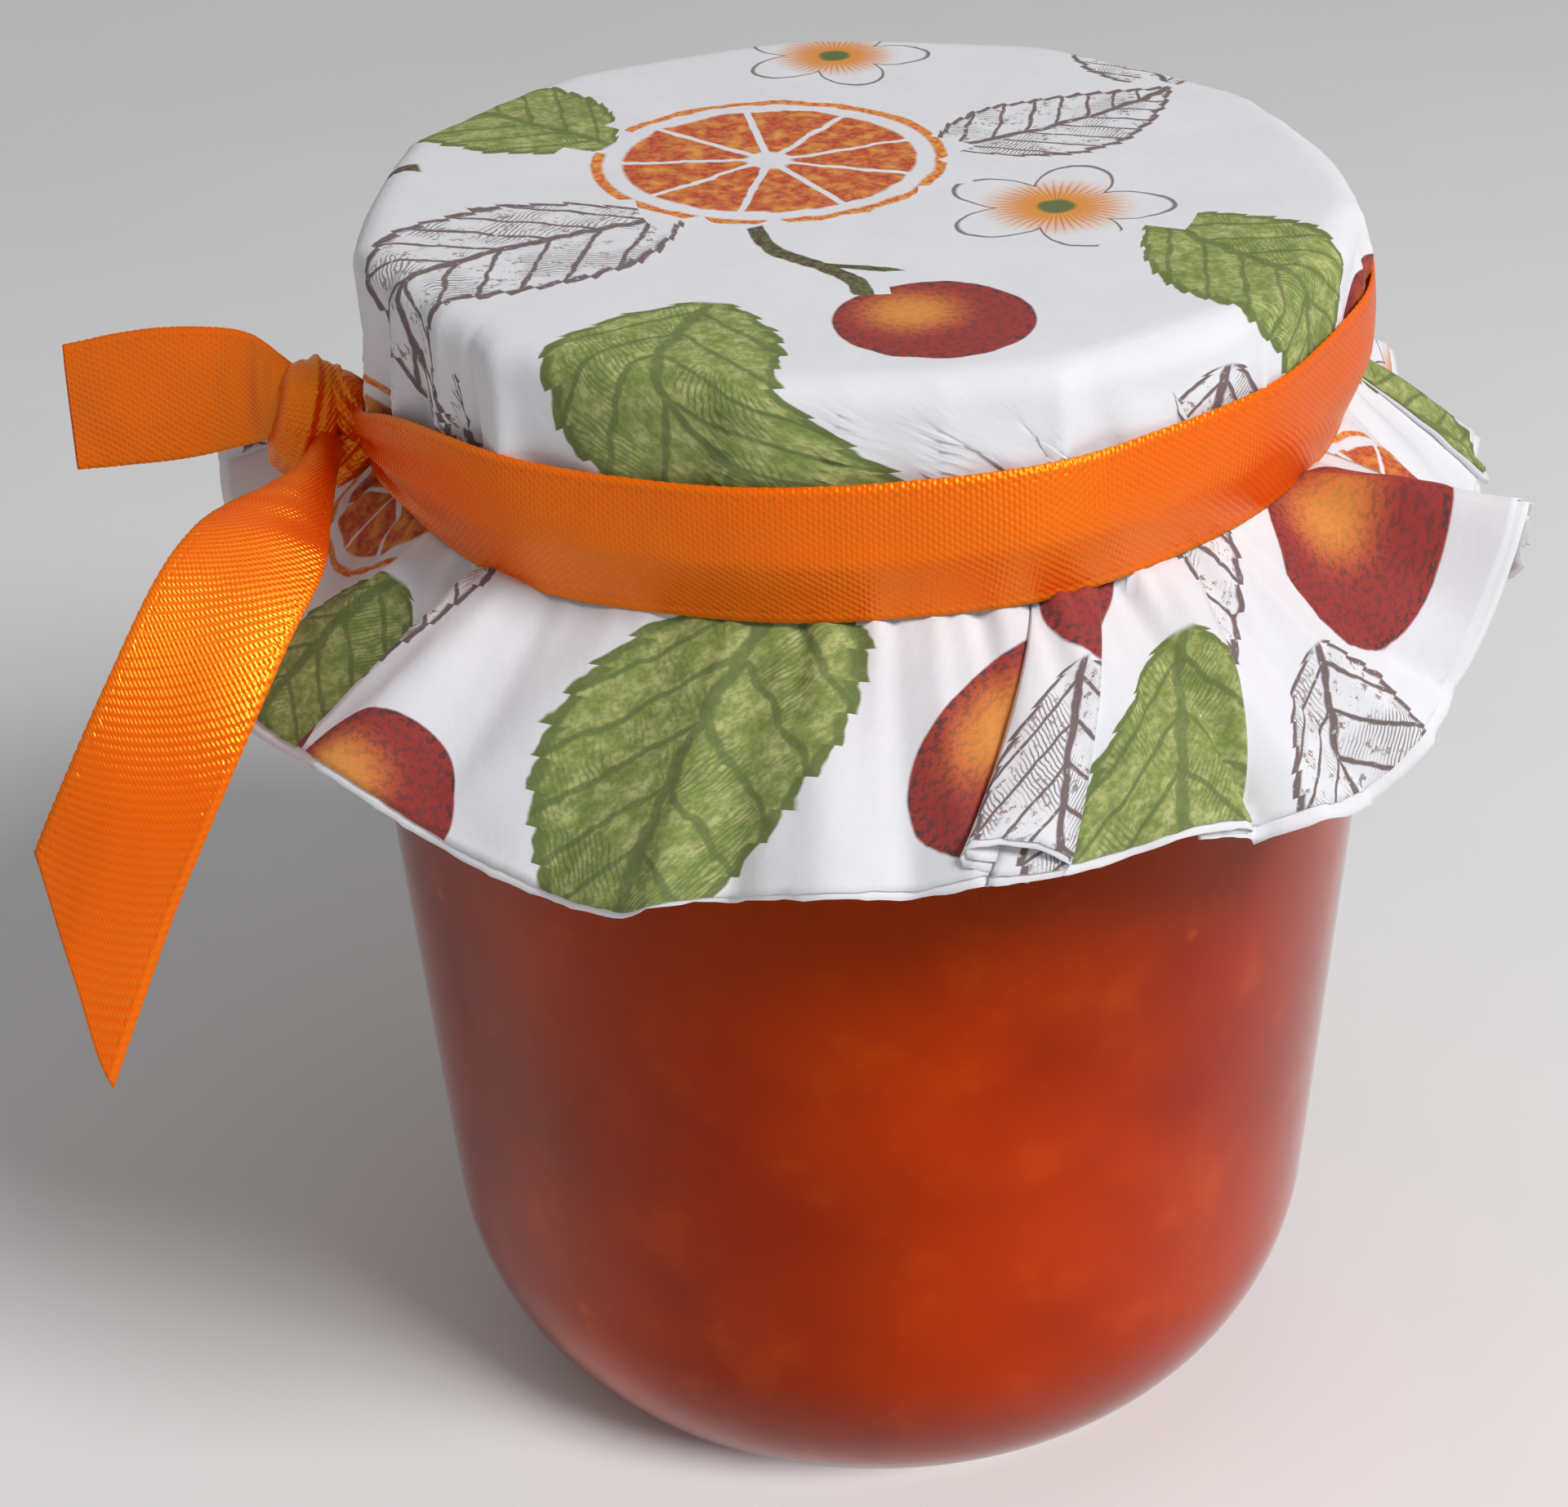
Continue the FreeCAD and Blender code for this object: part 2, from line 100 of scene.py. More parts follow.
# Turns a bmesh in millimetres into an object in metres that rides on the jar.
def finishPiece(bm, name, thickness=0.0):
    bmesh.ops.scale(bm, vec=(mm, mm, mm), verts=bm.verts)
    mesh = bpy.data.meshes.new(name)
    bm.to_mesh(mesh)
    bm.free()
    for face in mesh.polygons:
        face.use_smooth = True
    piece = bpy.data.objects.new(name, mesh)
    bpy.context.scene.collection.objects.link(piece)
    if thickness:
        wall = piece.modifiers.new("Wall", "SOLIDIFY")
        wall.thickness = thickness * mm
        wall.offset = -1
    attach(piece, "root")
    return piece


# Turned pieces: glass, jam and lid.

def startTrace(bm, radius, height):
    return bmesh.ops.create_vert(bm, co=(radius, 0, height))["vert"][0]


# Draws a straight stretch of a half section from a vertex to a point.
def traceLine(bm, start, radius, height):
    made = bmesh.ops.extrude_vert_indiv(bm, verts=[start])["verts"][0]
    made.co = (radius, 0, height)
    return made


# Draws an arc of a half section round a centre. Positive turns go from +X to +Z.
def traceArc(bm, start, centre, degrees, steps):
    made = bmesh.ops.spin(bm, geom=[start], cent=(centre[0], 0, centre[1]), axis=(0, -1, 0),
                          angle=math.radians(degrees), steps=steps)
    return made["geom_last"][0]


# Spins the half section round the jar's axis and closes it at the poles.
def turnSection(bm, steps):
    bmesh.ops.remove_doubles(bm, verts=bm.verts, dist=1e-4)
    bmesh.ops.spin(bm, geom=bm.verts[:] + bm.edges[:], cent=(0, 0, 0), axis=(0, 0, 1),
                   angle=math.tau, steps=steps, use_merge=True)
    bmesh.ops.remove_doubles(bm, verts=bm.verts, dist=1e-4)
    bmesh.ops.recalc_face_normals(bm, faces=bm.faces)


vessel = {                    # millimetres and degrees, the same as the glass is made to
    "neckLength": 15.52, "taperAngle": 5.0, "shoulderRadius": 6.5, "shoulderSlope": 12.0,
    "neckFillet": 2.5, "neckRadius": 31.5, "heelStart": 15.4, "heelLargeRadius": 20.6,
    "heelSmallRadius": 8.3, "wall": 2.6, "base": 4.0, "headspace": 9.0,
    "lipRound": 0.4,
    "jamReach": 0.25,         # how far the jam goes into the glass, so that no air shows
    "wallRows": 12, "roundSteps": 160,
}
taper = math.radians(vessel["taperAngle"])
slope = math.radians(vessel["shoulderSlope"])
rimHeight = jarHigh.z
bodyRadius = jarHigh.x


# Where the tapered wall ends below the shoulder.
def wallTopHeight():
    v = vessel
    shoulderEnd = bodyRadius + v["shoulderRadius"] * (math.sin(slope) - math.cos(taper))
    filletEnd = v["neckRadius"] + v["neckFillet"] * (1 - math.sin(slope))
    return (rimHeight - v["neckLength"] - v["neckFillet"] * math.cos(slope)
            - (shoulderEnd - filletEnd) * math.tan(slope)
            - v["shoulderRadius"] * (math.cos(slope) + math.sin(taper)))


wallTop = wallTopHeight()


# Half outline of the glass moved inwards: floor, heel, wall, shoulder, neck.
def traceVessel(bm, inset, floor, top):
    v = vessel
    radius = bodyRadius - inset
    foot = radius - (wallTop - v["heelStart"]) * math.tan(taper)
    large, small = v["heelLargeRadius"] - inset, v["heelSmallRadius"] - inset
    largeCentre = (foot - large * math.cos(taper), v["heelStart"] + large * math.sin(taper))
    split = math.asin((largeCentre[1] - floor - small) / (large - small))
    smallCentre = (largeCentre[0] + (large - small) * math.cos(split), floor + small)
    shoulder, fillet = v["shoulderRadius"] - inset, v["neckFillet"] + inset
    crown = (radius - shoulder * math.cos(taper), wallTop + shoulder * math.sin(taper))
    neck = v["neckRadius"] - inset
    crownEnd = (crown[0] + shoulder * math.sin(slope), crown[1] + shoulder * math.cos(slope))
    filletFoot = neck + fillet * (1 - math.sin(slope))
    filletLow = crownEnd[1] + (crownEnd[0] - filletFoot) * math.tan(slope)
    filletCentre = (neck + fillet, filletLow + fillet * math.cos(slope))
    end = traceLine(bm, startTrace(bm, 0, floor), smallCentre[0], floor)
    end = traceArc(bm, end, smallCentre, 90 - math.degrees(split), 10)
    end = traceArc(bm, end, largeCentre, math.degrees(split - taper), 14)
    for step in range(1, v["wallRows"] + 1):
        rise = step / v["wallRows"]
        end = traceLine(bm, end, foot + rise * (radius - foot),
                        v["heelStart"] + rise * (wallTop - v["heelStart"]))
    end = traceArc(bm, end, crown, 90 + math.degrees(taper - slope), 10)
    end = traceLine(bm, end, filletFoot, filletLow)
    end = traceArc(bm, end, filletCentre, math.degrees(slope) - 90, 5)
    return traceLine(bm, end, neck, top)


def makeGlass():
    bm = bmesh.new()
    edge = vessel["lipRound"]
    outer = traceVessel(bm, 0, 0, rimHeight - edge)
    inner = traceVessel(bm, vessel["wall"], vessel["base"], rimHeight - edge)
    lip = traceLine(bm, outer, vessel["neckRadius"] - edge, rimHeight)
    lip = traceLine(bm, lip, vessel["neckRadius"] - vessel["wall"] + edge, rimHeight)
    traceLine(bm, lip, inner.co.x, inner.co.z)
    turnSection(bm, vessel["roundSteps"])
    glass = finishPiece(bm, "glassVessel")
    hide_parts("jar")
    return glass


def makeJam():
    bm = bmesh.new()
    reach = vessel["jamReach"]
    level = rimHeight - vessel["headspace"]
    end = traceVessel(bm, vessel["wall"] - reach, vessel["base"] - reach, level)
    traceLine(bm, end, 0, level)
    turnSection(bm, vessel["roundSteps"])
    jam = finishPiece(bm, "jamFilling")
    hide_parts("jam")
    return jam


cap = {"edge": 1.5, "sheet": 0.8, "curl": 0.75, "roundSteps": 96}


# A cap with a rounded edge and a rolled lip, whose underside seats on the rim.
def makeLid():
    radius, top, lip = lidHigh.x, lidHigh.z, lidLow.z
    edge, sheet, curl = cap["edge"], cap["sheet"], cap["curl"]
    bm = bmesh.new()
    end = traceLine(bm, startTrace(bm, 0, top), radius - edge, top)
    end = traceArc(bm, end, (radius - edge, top - edge), -90, 6)
    end = traceLine(bm, end, radius, lip + curl)
    end = traceArc(bm, end, (radius - curl, lip + curl), -180, 8)
    end = traceLine(bm, end, radius - sheet, lip + 2 * curl)
    end = traceLine(bm, end, radius - sheet, top - edge)
    end = traceArc(bm, end, (radius - edge, top - edge), 90, 4)
    traceLine(bm, end, 0, top - sheet)
    turnSection(bm, cap["roundSteps"])
    lid = finishPiece(bm, "lidCap")
    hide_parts("lid")
    return lid


# Paper cover: a flat round sheet, gathered over the lid.

cover = {
    "columns": 620,           # of the sheet's mesh, round the sheet
    "sheetRows": (8, 27, 34), # of the top, the bend with the wall, and the skirt
    "plyRows": (0, 2, 34),
    "thickness": 0.12, "plyThickness": 0.08, "plyGap": 0.12,
    "plyDrop": 0.75,          # how far the lower ply's cut edge stands out
    "lidGap": 0.2, "glassGap": 0.45,
    "wallEnd": 2.3,           # where the wall turns in, below the lid's lip
    "waistDrop": 6.9, "waistIn": 0.9,
    "skirt": 18.6,            # length of the paper from the waist to its cut edge
    "skirtBulge": 0.5,
    "tilt": 1.6,              # rise of the gathered part towards +X
    "looseness": 0.55,        # room over the lid's side, more of it on the left
    "facetDepth": 1.0,        # of the straight stretches between the rim's corners
    "gatherDepth": 0.42,      # of the fine gathers under the ribbon
    "foldScale": 2.1, "wallFoldScale": 3.0,
    "crumple": 0.13, "cutStrokes": 0.7, "fray": 0.16,
}

# Pleats, where the paper runs back under or over itself. A pleat is the edge that shows
# (1 right, -1 left, 2 both), its left and right at the hem and at the waist, its lift, and
# how much higher the cut edge of its upper layer lies.
pleats = [(1, -171, -163, -170, -164, 1.0, 0.4), (-1, -136, -128, -134, -128, 1.2, 0.3),
          (1, -106, -98, -101, -95, 1.1, 0.5), (-1, -53.5, -44.5, -49, -42, 3.3, 0.0),
          (2, 5.8, 15.7, 18.3, 26.1, 1.3, 2.4), (1, 26.5, 32.5, 34.5, 39.0, 0.9, 0.0),
          (1, 66, 73, 63, 69, 0.9, 0.0), (-1, 98, 105, 97, 103, 1.1, 0.3),
          (1, 131, 139, 131, 137, 1.2, 0.4), (-1, 153, 160, 154, 159, 0.9, 0.2)]

# The hem, as azimuth, radius and height. It stands up where a fold points outwards.
hemLine = [(-180, 46.5, 65.5), (-163, 47.2, 66.8), (-147, 46.6, 65.2), (-131, 47.6, 67.4),
           (-116, 46.6, 66.2), (-104, 49.6, 73.6), (-94, 48.2, 68.5), (-80, 46.4, 63.6),
           (-66, 47.0, 63.2), (-57, 46.9, 64.4), (-46, 46.5, 64.3), (-33, 46.2, 62.6),
           (-21, 46.4, 61.7), (-13, 46.0, 63.9), (-3, 46.2, 64.6), (8, 46.4, 65.2),
           (17, 46.6, 65.5), (27, 46.6, 66.0), (36, 46.9, 64.9), (45, 47.2, 64.8),
           (53, 47.4, 67.4), (59, 47.8, 71.6), (63, 48.8, 77.4), (68, 48.6, 77.2),
           (76, 46.6, 68.8), (86, 45.6, 66.4), (96, 45.6, 67.0), (106, 45.8, 68.0),
           (117, 46.2, 71.8), (125, 46.4, 69.0), (137, 47.4, 66.0), (150, 46.4, 66.8),
           (165, 47.2, 64.9), (180, 46.5, 65.5)]

# Folds of the skirt: azimuth at the hem, at the waist, half width, height, sharpness.
skirtFolds = [(-48, -42, 3.0, 1.0, 0.0), (-59, -53, 3.4, -1.1, 0.2), (-67, -60, 3.0, 0.6, 0.2),
              (-74, -56, 3.5, 1.0, 0.3), (-40, -27, 4.0, 0.5, 0.1), (-29, -22, 3.5, -0.5, 0.3),
              (-18, -15, 2.2, 0.9, 0.7), (-12, -11, 2.0, -0.6, 0.4), (-4, -4, 3.5, 0.5, 0.1),
              (3, 2, 2.2, -0.5, 0.3), (8, 6, 1.6, 0.4, 0.6), (24, 22, 3.0, 0.4, 0.1),
              (33, 29, 1.5, -1.0, 0.9), (38, 33, 2.6, 0.6, 0.3), (45, 38, 1.6, -0.5, 0.8),
              (50, 43, 2.2, 0.6, 0.6), (56, 47, 1.6, -0.6, 0.8), (63, 60, 2.4, 1.3, 0.8),
              (69, 66, 2.4, -0.9, 0.5), (86, 84, 3.0, -0.7, 0.4), (104, 101, 3.2, 1.2, 0.5),
              (-104, -98, 3.0, 1.2, 0.6), (-93, -86, 2.6, -0.9, 0.4)]

# Folds of the wall above the ribbon, in the same terms: at the ribbon and at the rim.
wallFolds = [(-74, -71, 2.0, 0.45, 0.4), (-69, -67, 1.4, -0.35, 0.4), (-64, -63, 1.6, 0.40, 0.6),
             (-58, -58, 1.4, -0.40, 0.5), (-52, -53, 1.8, 0.45, 0.5), (-46, -47, 1.2, -0.40, 0.7),
             (-41, -42, 1.8, 0.30, 0.4), (-15, -14.5, 0.8, 0.30, 0.9), (-5, -2, 0.7, 0.28, 0.9),
             (1, 3, 2.4, -0.22, 0.2), (8, 8, 0.7, 0.25, 0.9), (20, 21, 0.9, 0.25, 0.8),
             (26, 25, 2.2, -0.25, 0.2), (47, 48, 1.2, 0.25, 0.7), (61, 60, 1.6, -0.25, 0.5),
             (-28, -30, 3.5, 0.20, 0.0)]

facetCorners = [-172, -141, -112, -78, -43, -12, 20, 52, 84, 122, 156, 188]


# The side away from the front is as unevenly folded, with folds drawn by lot.
def addHiddenSideFolds(seed, start, end):
    lot = random.Random(seed)
    azimuth = start
    while azimuth < end:
        height = lot.choice((-1, 1)) * lot.uniform(0.3, 1.0)
        skirtFolds.append((azimuth, azimuth + lot.uniform(-4, 4), lot.uniform(1.6, 4.0),
                           height, lot.uniform(0.1, 0.8)))
        wallFolds.append((azimuth, azimuth + lot.uniform(-2, 2), lot.uniform(0.8, 2.2),
                          lot.choice((-1, 1)) * lot.uniform(0.15, 0.4), lot.uniform(0.2, 0.9)))
        azimuth += lot.uniform(6, 12)


addHiddenSideFolds(11, 76.0, 258.0)


# Outside of the cover from its centre to its waist: radius, height and tilt share.
def coverStations():
    edge, radius, top, lip = cap["edge"], lidHigh.x, lidHigh.z, lidLow.z
    out = coverHigh.z - top
    stations = [(0.0, top + out, 0.0), (radius - edge, top + out, 0.0)]
    for angle in range(75, -1, -15):
        turn = math.radians(angle)
        stations.append((radius - edge + (edge + out) * math.cos(turn),
                         top - edge + (edge + out) * math.sin(turn), 0.0))
    stations.append((radius + out + cover["lidGap"], (top + lip) / 2, 1.0))
    stations.append((radius + out, lip - cover["wallEnd"], 1.0))
    stations.append((radius - cover["waistIn"], lip - cover["waistDrop"], 1.0))
    return stations


stations = coverStations()
stationReach = [0.0]
for before, after in zip(stations, stations[1:]):
    stationReach.append(stationReach[-1] + math.hypot(after[0] - before[0], after[1] - before[1]))
rimReach = stationReach[1]
waistReach = stationReach[-1]
hemReach = waistReach + cover["skirt"]
waistRadius, waistHeight, _ = stations[-1]


# Radius, height and tilt share of the cover at a distance along the paper.
def upperPlace(reach):
    for place, end in enumerate(stationReach[1:]):
        if reach <= end or place == len(stations) - 2:
            start = stationReach[place]
            share = (reach - start) / (end - start)
            return tuple(p + share * (q - p) for p, q in zip(stations[place], stations[place + 1]))


def hemPlace(azimuth):
    turn = math.remainder(azimuth, 360)
    for place, (low, high) in enumerate(zip(hemLine, hemLine[1:])):
        if turn <= high[0]:
            share = (turn - low[0]) / (high[0] - low[0])
            return catmull(hemLine, place + share)[1:]
    return hemLine[-1][1:]


# Sum of a table's folds at an azimuth. share runs from the table's second azimuth.
def foldSum(folds, azimuth, share):
    total = 0.0
    for nearHem, nearWaist, width, height, sharpness in folds:
        away = turnBetween(azimuth, nearWaist + share * (nearHem - nearWaist))
        if abs(away) < 4 * width:
            total += height * ridge(away, width, sharpness)
    return total


# How far the paper cuts inside its round rim between two corners.
def facetDip(azimuth):
    turn = azimuth % 360
    turn -= 360 if turn > 188 else 0
    for low, high in zip(facetCorners, facetCorners[1:]):
        if low <= turn <= high:
            return 1 - (2 * (turn - low) / (high - low) - 1) ** 2
    return 0.0


# Fine uneven gathers where the ribbon draws the paper in.
def gathers(azimuth):
    turn = math.radians(azimuth)
    wave = (math.sin(47 * turn + 2 * math.sin(5 * turn)) + 0.7 * math.sin(71 * turn + 1.3)
            + 0.6 * math.sin(103 * turn + 3 * math.sin(3 * turn)))
    return wave * (0.6 + 0.4 * math.sin(4 * turn + 0.7))


# The way of the paper round the jar: hem azimuth, waist azimuth, lift and shortening.
def paperWay():
    way = [(-180.0, -180.0, 0.0, 0.0)]
    for shows, hemLeft, hemRight, waistLeft, waistRight, lift, short in pleats:
        left, right = (hemLeft, waistLeft), (hemRight, waistRight)
        middle = ((hemLeft + hemRight) / 2, (waistLeft + waistRight) / 2)

        def stop(edge, turn, rise, cut=0.0):
            way.append((edge[0] + turn, edge[1] + turn, rise * lift, cut * short))

        if shows == 1:
            stop(left, -4.5, 0)
            stop(left, 0, 0.7, 0.5)
            stop(right, 0, 1.0, 1)
            stop(right, -0.5, 0.4)
            stop(left, 0, 0.1)
            stop(right, 4, 0)
        elif shows == -1:
            stop(left, -4, 0)
            stop(right, 0, 0.1)
            stop(left, 0.5, 0.4)
            stop(left, 0, 1.0, 1)
            stop(right, 0, 0.7, 0.5)
            stop(right, 5, 0)
        else:
            stop(left, -6, 0)
            stop(middle, 2.0, 0.02)
            stop(left, 0.5, 0.35, 0.6)
            stop(left, 0, 0.8, 1)
            stop(middle, -2, 1.35, 1)
            stop(middle, 2, 1.25, 0.7)
            stop(right, 0, 0.8, 0.2)
            stop(right, -0.5, 0.35)
            stop(middle, -2.0, 0.2)
            stop(right, 4, 0)
    return way + [(180.0, 180.0, 0.0, 0.0)]


way = paperWay()
wayLength = [0.0]
for before, after in zip(way, way[1:]):
    wayLength.append(wayLength[-1] + math.hypot(after[0] - before[0], after[2] - before[2]))


# Hem azimuth, waist azimuth, lift and shortening at an azimuth of the flat sheet.
def wayPlace(flatAzimuth):
    along = (math.remainder(flatAzimuth, 360) + 180) / 360 * wayLength[-1]
    place = min(bisect.bisect_right(wayLength, along), len(way) - 1) - 1
    share = (along - wayLength[place]) / (wayLength[place + 1] - wayLength[place])
    return tuple(p + share * (q - p) for p, q in zip(way[place], way[place + 1]))


# Moves a point of the skirt outwards if it is nearer to the shoulder than the gap.
def clearOfGlass(radius, height, gap):
    crown = (bodyRadius - vessel["shoulderRadius"], wallTop)
    across, up = radius - crown[0], height - crown[1]
    distance = math.hypot(across, up)
    need = vessel["shoulderRadius"] + gap
    if up > 0 and across > -2 and distance < need:
        return crown[0] + across * need / distance, crown[1] + up * need / distance
    return max(radius, bodyRadius + gap) if up <= 0 else radius, height


# Moves a point of the upper part off the lid's side and rounded edge.
def clearOfLid(radius, height):
    edge, gap = cap["edge"], cover["lidGap"]
    centre = (lidHigh.x - edge, lidHigh.z - edge)
    if height <= centre[1]:
        return max(radius, lidHigh.x + gap), height
    across, up = radius - centre[0], height - centre[1]
    distance = math.hypot(across, up)
    if across > 0 and distance < edge + gap:
        grown = (edge + gap) / distance
        return centre[0] + across * grown, centre[1] + up * grown
    return radius, height


# A point of the top or the wall, at a distance along the paper. fine is its crumpling.
def drapeOverLid(reach, flatAzimuth, fine, inset):
    _, waistAzimuth, pleat, _ = wayPlace(flatAzimuth)
    radius, height, tilt = upperPlace(reach)
    onTop = 1 - smoothStep(rimReach - 6, rimReach + 1, reach)
    atRim = smoothStep(rimReach - 3, rimReach + 2, reach)
    onWall = smoothStep(rimReach, waistReach - 6, reach)
    nearWaist = smoothStep(waistReach - 7, waistReach - 1, reach)
    azimuth = flatAzimuth + onWall * turnBetween(waistAzimuth, flatAzimuth)
    roomy = cover["looseness"] * (1 - math.sin(math.radians(azimuth)))
    dip = cover["facetDepth"] * facetDip(azimuth) * (1 - 0.8 * onWall) - roomy * (1 - onWall)
    lift = foldSum(wallFolds, azimuth, onWall) * (0.15 + 0.85 * onWall) * cover["wallFoldScale"]
    lift *= 1 - 0.55 * nearWaist
    lift += (0.4 * cover["gatherDepth"] * gathers(azimuth) + 0.05) * nearWaist
    lift += 0.30 * pleat * onWall ** 3
    height += tilt * cover["tilt"] * math.sin(math.radians(azimuth)) + fine * onTop * 0.7
    radius += (max(lift, -0.6) + fine * 0.6 - dip) * atRim
    if reach > rimReach - 3 and height > lidLow.z:
        radius, height = clearOfLid(radius, height)
    return roundPoint(radius - inset, azimuth, height)


# A point of the skirt, which runs straight from the waist to the hem but for its folds.
def flareSkirt(reach, flatAzimuth, fine, inset):
    hemAzimuth, waistAzimuth, pleat, _ = wayPlace(flatAzimuth)
    share = (reach - waistReach) / (hemReach - waistReach)
    azimuth = waistAzimuth + share * turnBetween(hemAzimuth, waistAzimuth)
    hemRadius, hemHeight = hemPlace(hemAzimuth)
    startHeight = waistHeight + cover["tilt"] * math.sin(math.radians(waistAzimuth))
    run, fall = hemRadius - waistRadius, startHeight - hemHeight
    length = math.hypot(run, fall)
    lift = foldSum(skirtFolds, azimuth, share) * (0.2 + 0.8 * share) * cover["foldScale"]
    lift += cover["gatherDepth"] * gathers(azimuth) * math.exp(-share / 0.3)
    lift += pleat * (0.3 + 0.7 * share) + fine * (0.7 + share) + 0.05
    lift += cover["skirtBulge"] * math.sin(math.pi * min(share, 1.0))
    radius = waistRadius + share * run + lift * fall / length
    height = startHeight - share * fall + lift * run / length
    radius, height = clearOfGlass(radius, height, cover["glassGap"] + 0.6 * pleat)
    return roundPoint(radius - inset * fall / length, azimuth, height - inset * run / length)


# Where a point of the flat sheet lies on the jar.
def foldPaper(flatX, flatY, inset=0.0):
    reach = math.hypot(flatX, flatY)
    flatAzimuth = math.degrees(math.atan2(flatX, -flatY)) if reach > 1e-6 else 0.0
    fine = cover["crumple"] * (smoothNoise(flatX * 0.16, flatY * 0.16, 3.1)
                               + 0.5 * smoothNoise(flatX * 0.45, flatY * 0.45, 7.7))
    lay = drapeOverLid if reach <= waistReach else flareSkirt
    return lay(reach, flatAzimuth, fine, inset)


# Unevenness of the cut edge: scissor strokes a few degrees long, and a soft fray.
def hemCut(azimuth, seed):
    turn = math.radians(azimuth)
    strokes = smoothNoise(math.sin(turn) * 3.1 + seed, math.cos(turn) * 3.1, 0.4)
    fray = smoothNoise(math.sin(turn) * 60, math.cos(turn) * 60, seed)
    return cover["cutStrokes"] * strokes + cover["fray"] * fray


# Distances of the sheet's rows from its centre, close together where it bends.
def sheetRows(start, fold, hem, steps):
    flat, bend, skirt = steps
    rows = [start + (fold - start) * k / flat for k in range(flat)]
    rows += [fold + (waistReach - fold) * k / bend for k in range(bend)]
    return rows + [waistReach + (hem - waistReach) * k / skirt for k in range(skirt + 1)]


# Spins a flat round sheet, keeps its flat places as the print's map, and folds it.
def makePaper(name, rows, inset, thickness, seed):
    bm = bmesh.new()
    end = bmesh.ops.create_vert(bm, co=(0, -rows[0], 0))["vert"][0]
    for row in rows[1:]:
        end = bmesh.ops.extrude_vert_indiv(bm, verts=[end])["verts"][0]
        end.co = (0, -row, 0)
    bmesh.ops.spin(bm, geom=bm.verts[:] + bm.edges[:], cent=(0, 0, 0), axis=(0, 0, 1),
                   angle=math.tau, steps=cover["columns"], use_merge=True)
    bmesh.ops.remove_doubles(bm, verts=bm.verts, dist=1e-4)
    for vert in bm.verts:
        reach = math.hypot(vert.co.x, vert.co.y)
        if reach > waistReach:
            azimuth = math.degrees(math.atan2(vert.co.x, -vert.co.y))
            share = (reach - waistReach) / (rows[-1] - waistReach)
            short = wayPlace(azimuth)[3]
            grown = 1 + (hemCut(azimuth, seed) * share ** 2 - short * share) / reach
            vert.co.x *= grown
            vert.co.y *= grown
    writePrintMap(bm)
    for vert in bm.verts:
        vert.co = foldPaper(vert.co.x, vert.co.y, inset)
    bmesh.ops.recalc_face_normals(bm, faces=bm.faces)
    return finishPiece(bm, name, thickness)


# The print: motifs by kind, place on the flat sheet, turn and length, all in millimetres.
# Kinds are tiles of the print's map: 0 blank, 1 green leaf, 2 line-drawn leaf,
# 3 citrus wheel, 4 blossom, 5 berry, 6 twig.
chosenMotifs = [
    (3, -10, 10, 20, 28), (4, 15, -6, 0, 18), (2, 15, 16, 35, 22), (1, 27, -17, 318, 28),
    (2, -26, -12, 215, 30), (5, 4, -24, 0, 15), (1, -14, -36, 262, 30), (6, -3, -15, 300, 17),
    (5, 11, -49, 0, 18), (2, 33, -41, 300, 27), (5, 47, -33, 0, 17), (4, -2, 30, 0, 16),
    (1, -27, 22, 150, 26), (3, -50, -8, 0, 20), (1, -25, -58, 245, 33), (2, -43, -33, 228, 30),
    (5, -7, -62, 0, 16), (2, 8, -66, 290, 22), (1, 32, -59, 300, 30), (2, 54, -50, 320, 22),
    (3, 58, -14, 0, 18), (5, 44, -8, 0, 13), (1, 56, 14, 20, 30), (4, 42, 38, 0, 17),
    (5, 24, 48, 0, 15), (2, 8, 62, 80, 26), (3, -14, 50, 0, 20), (1, -37, 46, 120, 30),
    (5, -56, 28, 0, 15), (2, -60, 8, 170, 26), (6, -40, 6, 190, 20), (6, 40, 6, 75, 18),
    (1, -62, -25, 200, 24), (4, -46, 62, 0, 15), (5, 34, 62, 0, 14), (4, 67, 30, 0, 13),
    (5, -43, -54, 0, 13), (5, -57, -46, 0, 14), (2, 20, 28, 110, 20),
]
motifRoom = {1: 0.42, 2: 0.42, 3: 0.5, 4: 0.5, 5: 0.48, 6: 0.36}      # in lengths
motifHalfWidths = {1: 0.31, 2: 0.31, 3: 0.49, 4: 0.49, 5: 0.47, 6: 0.20}
printReach = 72


# Motifs that stand too close are pushed apart, a little in every round.
def spreadMotifs(chosen, rounds=300):
    places = [Vector((x, y)) for _, x, y, _, _ in chosen]
    rooms = [motifRoom[kind] * length for kind, _, _, _, length in chosen]
    for _ in range(rounds):
        for second in range(len(chosen)):
            for first in range(second):
                gap = places[second] - places[first]
                short = rooms[first] + rooms[second] - gap.length
                if short > 0:
                    push = gap.normalized() * short / 4
                    places[first] -= push
                    places[second] += push
        for place in places:
            if place.length > printReach:
                place.length = printReach
    return [(kind, place.x, place.y, turn, length)
            for place, (kind, _, _, turn, length) in zip(places, chosen)]


motifs = spreadMotifs(chosenMotifs)


# A point of the flat sheet in a motif's own map.
def inMotif(motif, x, y):
    _, atX, atY, turn, length = motif
    return Matrix.Rotation(-math.radians(turn), 2) @ Vector((x - atX, y - atY)) / length


# The motif whose oval a point of the flat sheet is deepest in.
def motifAt(x, y):
    def depth(motif):
        place = inMotif(motif, x, y)
        return math.hypot(place.x / 0.52, place.y / motifHalfWidths[motif[0]])

    near = [motif for motif in motifs if math.hypot(x - motif[1], y - motif[2]) < 0.62 * motif[4]]
    return min(near, key=depth) if near else None


